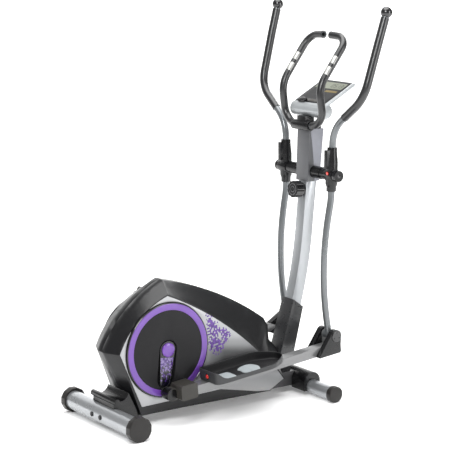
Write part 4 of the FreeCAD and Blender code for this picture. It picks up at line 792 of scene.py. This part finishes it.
for side, sign in SIDES:
    body, place = "pedal_" + side, pedal_matrix(side, sign)
    tray_shell(side, body, place)
    tray_mat(side, body, place)
    pad("heel_pad_" + side, body, place, (TRAY_START + 0.078, TRAY_CENTRE + 0.008), (0.036, 0.036), 7.0, 0.88)
    pad("sole_pad_" + side, body, place, (TRAY_START + 0.194, TRAY_CENTRE + 0.004), (0.048, 0.044), 2.3, 1.45,
        0.22)
    tray_light(side, body, place)


# ---------------------------------------------------------------- console
console_low = Vector(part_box("console_body")[0])
nose = Vector((console_low.x + NOSE_RADIUS, 0.0, console_low.z + NOSE_RADIUS))


def console_place(along, across, above):
    """A place on the screen's slope: along it, across it and above its face."""
    c, s = math.cos(CONSOLE_SLOPE), math.sin(CONSOLE_SLOPE)
    rise = NOSE_RADIUS + np.asarray(above, dtype=float)
    along = np.asarray(along, dtype=float)
    x = nose.x + along * c - rise * s
    z = nose.z + along * s + rise * c
    return np.stack(np.broadcast_arrays(x, across, z), axis=-1)


def console_plate(name, along, across, low, high, corner, material, slot=None, crown=0.0):
    """A thin plate on the slope, on a polar grid: its plan is a rectangle with round corners, its top edge
    a quarter circle, and its top a shallow crown."""
    angle = np.linspace(0.0, 2 * np.pi, 96, endpoint=False)
    mid_a, half_a = (along[0] + along[1]) / 2, (along[1] - along[0]) / 2
    mid_c, half_c = (across[0] + across[1]) / 2, (across[1] - across[0]) / 2
    c, s = np.cos(angle), np.sin(angle)
    steep = 1.42
    px = np.clip(c * steep, -1, 1) * (half_a - corner) + corner * c
    py = np.clip(s * steep, -1, 1) * (half_c - corner) + corner * s
    edge = min(0.0012, (high - low) / 2)
    rings = [(0.0, low), (1.0, low)]
    rings += [(1.0 - edge * (1 - math.cos(turn)) / min(half_a, half_c), high - edge + edge * math.sin(turn))
              for turn in np.linspace(0.0, np.pi / 2, 5)]
    rings += [(share, high + crown * (1 - share ** 2)) for share in (0.75, 0.5, 0.25, 0.0)]
    rows = [console_place(mid_a + px * share, mid_c + py * share, level) for share, level in rings]
    return attach(grid_piece(name, np.array(rows), material, True), "frame", slot)


def console_case():
    """The silver case: the side-view section, a round nose with a flat plate rising from it, is carried
    across the machine. It is drawn in along its own normals, by a quarter ellipse at both ends and by a
    cosine in the ribs of the nose."""
    drop = NOSE_RADIUS - CONSOLE_EDGE
    end_round, end_start = 0.0045, 0.955
    rib_depth, rib_pitch = 0.0005, 0.0085
    rib_first, rib_last = 6, 52
    leave = CONSOLE_SLOPE + math.asin(drop / NOSE_RADIUS)
    turn = np.linspace(CONSOLE_SLOPE + np.pi / 2, leave + 2 * np.pi, 80)
    arc = np.stack([nose.x + NOSE_RADIUS * np.cos(turn), nose.z + NOSE_RADIUS * np.sin(turn)], axis=1)
    half = CONSOLE_EDGE / 2
    edge_turn = np.linspace(-np.pi / 2, np.pi / 2, 9)
    far = console_place(CONSOLE_LENGTH - half + half * np.cos(edge_turn), 0.0,
                        half * np.sin(edge_turn) - half)[:, [0, 2]]
    section = np.concatenate([arc, far])
    step = np.roll(section, -1, axis=0) - np.roll(section, 1, axis=0)
    outward = np.stack([step[:, 1], -step[:, 0]], axis=1) / np.linalg.norm(step, axis=1)[:, None]
    across = np.linspace(-1.0, 1.0, 181)
    ends = np.clip((np.abs(across) - end_start) / (1.0 - end_start), 0.0, 1.0)
    draw = end_round * (1.0 - np.sqrt(np.clip(1.0 - ends ** 2, 0.0, 1.0)))
    ribbed = np.zeros(len(section))
    ribbed[rib_first:rib_last] = 1.0
    live = np.clip((0.95 - np.abs(across)) / 0.05, 0.0, 1.0)
    rib = rib_depth * live * (1.0 - np.cos(across * CONSOLE_HALF * 2 * np.pi / rib_pitch))
    inward = draw[:, None] + rib[:, None] * ribbed[None]
    place = section[None] - outward[None] * inward[..., None]
    wide = np.broadcast_to((across * CONSOLE_HALF)[:, None], place.shape[:2])
    rows = np.stack([place[..., 0], wide, place[..., 1]], axis=-1)
    count, around = rows.shape[:2]
    near_end = list(range(around))
    far_end = [(count - 1) * around + corner for corner in reversed(near_end)]
    faces = grid_faces(count, around, True) + [near_end, far_end]
    piece = mesh_piece("console_case", rows, faces, finish["console_silver"], crease=35.0)
    attach(piece, "frame", "console_silver", "console_body")


def digit(name, along, across, size, segments):
    """A seven-segment digit of thin raised bars: each bar's middle is a share of the size up and across."""
    bars = {"a": (1.0, 0.0, 0), "b": (0.75, 0.25, 1), "c": (0.25, 0.25, 1), "d": (0.0, 0.0, 0),
            "e": (0.25, -0.25, 1), "f": (0.75, -0.25, 1), "g": (0.5, 0.0, 0)}
    for letter in segments:
        up, side, upright = bars[letter]
        long, thin = size * 0.19, size * 0.05
        half_a, half_c = (long, thin) if upright else (thin, long)
        mid_a = along + up * size
        mid_c = across - side * size
        console_plate(name + "_" + letter, (mid_a - half_a, mid_a + half_a), (mid_c - half_c, mid_c + half_c),
                      0.0014, 0.0019, thin * 0.6, digit_ink)


def console_details():
    """Black bezel, display, key field, gold mark, digits, and the bump at the near left corner."""
    side = CONSOLE_HALF - 0.005
    start, end = DISPLAY_ALONG
    wide = DISPLAY_HALF
    console_plate("console_bezel", (0.006, CONSOLE_LENGTH - 0.006), (-side, side), -0.001, 0.0008, 0.008,
                  finish["screen"], "screen")
    console_plate("console_display", (start, end), (-wide, wide), 0.0, 0.0014, 0.004, display)
    console_plate("console_key_field", (0.014, 0.031), (-0.066, 0.066), 0.0, 0.0012, 0.005, key_field)
    console_plate("console_label", (start - 0.024, start - 0.010), (-wide + 0.006, -0.004), 0.0, 0.0011,
                  0.003, mark_gold)
    for index, segments in enumerate(("abcdef", "acdfg", "bc", "abgcd")):
        digit("digit_%d" % index, start + 0.012, -0.012 - 0.018 * index, 0.022, segments)
    bump = console_plate("console_bump", (0.0, 0.024), (0.026, 0.072), -0.002, 0.011, 0.009,
                         finish["trim_black"], "trim_black", 0.002)
    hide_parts("console_screen")


console_case()
console_details()


# ---------------------------------------------------------------- small trim
def tension_details():
    """Two raised rings on the knob's face."""
    joint = joints["tension_turn"]
    axis = Vector(joint["axis"]).normalized()
    seat = Vector(joint["pos_m"]) + axis * (KNOB_FACE - 0.0002)
    for name, profile, steps in (("knob_ring", rounded_profile(0.0235, 0.0012, 0.0005, 0.0215), 64),
                                 ("knob_dial", rounded_profile(0.0125, 0.0010, 0.0004, 0.0108), 48)):
        attach(turned(name, profile, seat, axis, finish["iron"], steps), "tension", "iron")


def arm_details(side, sign):
    """The handle axle's end cap: a short cylinder under a quarter ellipse."""
    start = SIDE_OFFSET + HUB_HALF
    turn = np.linspace(0.0, np.pi / 2, 14)
    dome = np.stack([CAP_RADIUS * np.cos(turn), 0.0095 + 0.0135 * np.sin(turn)], axis=1)
    dome = np.concatenate([[(0.0, 0.0)], [(CAP_RADIUS, 0.0)], dome])
    place = Vector((pivot.x, sign * (start + 0.0002), pivot.z))
    attach(turned("axle_cap_" + side, dome, place, (0, sign, 0), finish["knob_gloss"], 64), "frame",
           "knob_gloss")


def hub_light():
    """The small red lamp on the rear of the right hub's boss."""
    dot = rounded_profile(0.0068, 0.0024, 0.0009)
    place = Vector((pivot.x - 0.0252, -SIDE_OFFSET - 0.004, pivot.z + 0.009))
    attach(turned("hub_light", dot, place, (-1, 0, 0), reflector, 32), "arm_right")


def joint_caps(side, sign):
    """The round glossy boss on the outer face of the lower joint's cover, with three small screws."""
    node = "joint_cover_" + side
    low, high = (Vector(corner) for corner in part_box(node))
    face = max(abs(low.y), abs(high.y))
    joint = joint_place("pedal_" + side + "_pivot")
    profile = rounded_profile(0.0235, 0.0042, 0.0018)
    place = Vector((joint.x, sign * (face - 0.0004), joint.z))
    body = body_with(node)
    attach(turned("joint_boss_" + side, profile, place, (0, sign, 0), finish["knob_gloss"], 64), body,
           "knob_gloss")
    screw = rounded_profile(0.0032, 0.0012, 0.0005)
    for index in range(3):
        angle = math.radians(90.0 + 120.0 * index)
        spot = place + Vector((0.0150 * math.cos(angle), sign * 0.0040, 0.0150 * math.sin(angle)))
        attach(turned("joint_screw_%s_%d" % (side, index), screw, spot, (0, sign, 0), finish["crank_steel"],
                      24), body, "crank_steel")


hub_light()
tension_details()
for side, sign in SIDES:
    arm_details(side, sign)
    joint_caps(side, sign)


# ---------------------------------------------------------------- stage, light and camera
def stage():
    """A pale floor and backdrop: a line along the camera's heading goes back level, up a quarter circle and
    straight up, and is carried sideways. It glows more with distance from the machine."""
    half, back, bend, top = 9.0, 6.0, 2.0, 9.0
    turn = np.linspace(0.0, np.pi / 2, 24)
    run = np.concatenate([[-half], back + bend * np.sin(turn), [back + bend]])[:, None]
    level = np.concatenate([[0.0], bend - bend * np.cos(turn), [top]])[:, None]
    side = np.array([[-half, half]])
    heading = (-math.sin(CAMERA_AZIMUTH), math.cos(CAMERA_AZIMUTH))
    x = run * heading[0] + side * heading[1]
    y = run * heading[1] - side * heading[0]
    made = Finish("studio_floor", (0.93, 0.93, 0.93), 0.7, specular=0.1)
    made.tint(made.noise(0.5, 2.0), 0.01)
    made.shader.inputs["Emission Color"].default_value = (1.0, 1.0, 1.0, 1.0)
    away = made.node("VectorMath", Vector=made.place)
    away.operation = "LENGTH"
    made.link(made.spread(made.span(away.outputs["Value"], 0.9, 2.6), 0.12, 0.85), "Emission Strength")
    grid_piece("studio_floor", np.stack([x, y, level + 0 * x], axis=-1), made.material)


def area_light(name, place, aim, size, power):
    """A soft white light that points at a place."""
    lamp = bpy.data.lights.new(name, "AREA")
    lamp.shape = "RECTANGLE"
    lamp.size, lamp.size_y = size
    lamp.energy = power
    holder = bpy.data.objects.new(name, lamp)
    bpy.context.scene.collection.objects.link(holder)
    holder.location = place
    holder.rotation_euler = (Vector(aim) - Vector(place)).to_track_quat("-Z", "Y").to_euler()


def camera():
    """The viewing place: from behind on the right, a little above, through a long lens."""
    back = Vector((math.sin(CAMERA_AZIMUTH) * math.cos(CAMERA_RISE),
                   -math.cos(CAMERA_AZIMUTH) * math.cos(CAMERA_RISE), math.sin(CAMERA_RISE)))
    lens = bpy.data.cameras.new("camera")
    lens.lens = 132.7
    lens.sensor_width = 36.0
    holder = bpy.data.objects.new("camera", lens)
    bpy.context.scene.collection.objects.link(holder)
    holder.location = CAMERA_TARGET + back * CAMERA_DISTANCE
    holder.rotation_euler = (-back).to_track_quat("-Z", "Y").to_euler()
    bpy.context.scene.camera = holder


stage()
area_light("key", (-2.45, -1.9, 2.95), (-0.4, 0, 0.5), (1.4, 1.4), 85.0)
area_light("side", (1.6, -3.4, 1.6), (0.1, 0, 0.7), (0.9, 2.4), 55.0)
area_light("rim", (2.8, 1.0, 2.4), (0.2, 0, 0.8), (1.2, 2.4), 40.0)
area_light("top", (0.0, 0.0, 4.2), (0, 0, 0.4), (3.4, 3.4), 170.0)
world = bpy.data.worlds.new("studio")
bpy.context.scene.world = world
world.use_nodes = True
world.node_tree.nodes["Background"].inputs[0].default_value = (1.0, 1.0, 1.0, 1.0)
world.node_tree.nodes["Background"].inputs[1].default_value = 0.34
bpy.context.scene.view_settings.view_transform = "Standard"
camera()
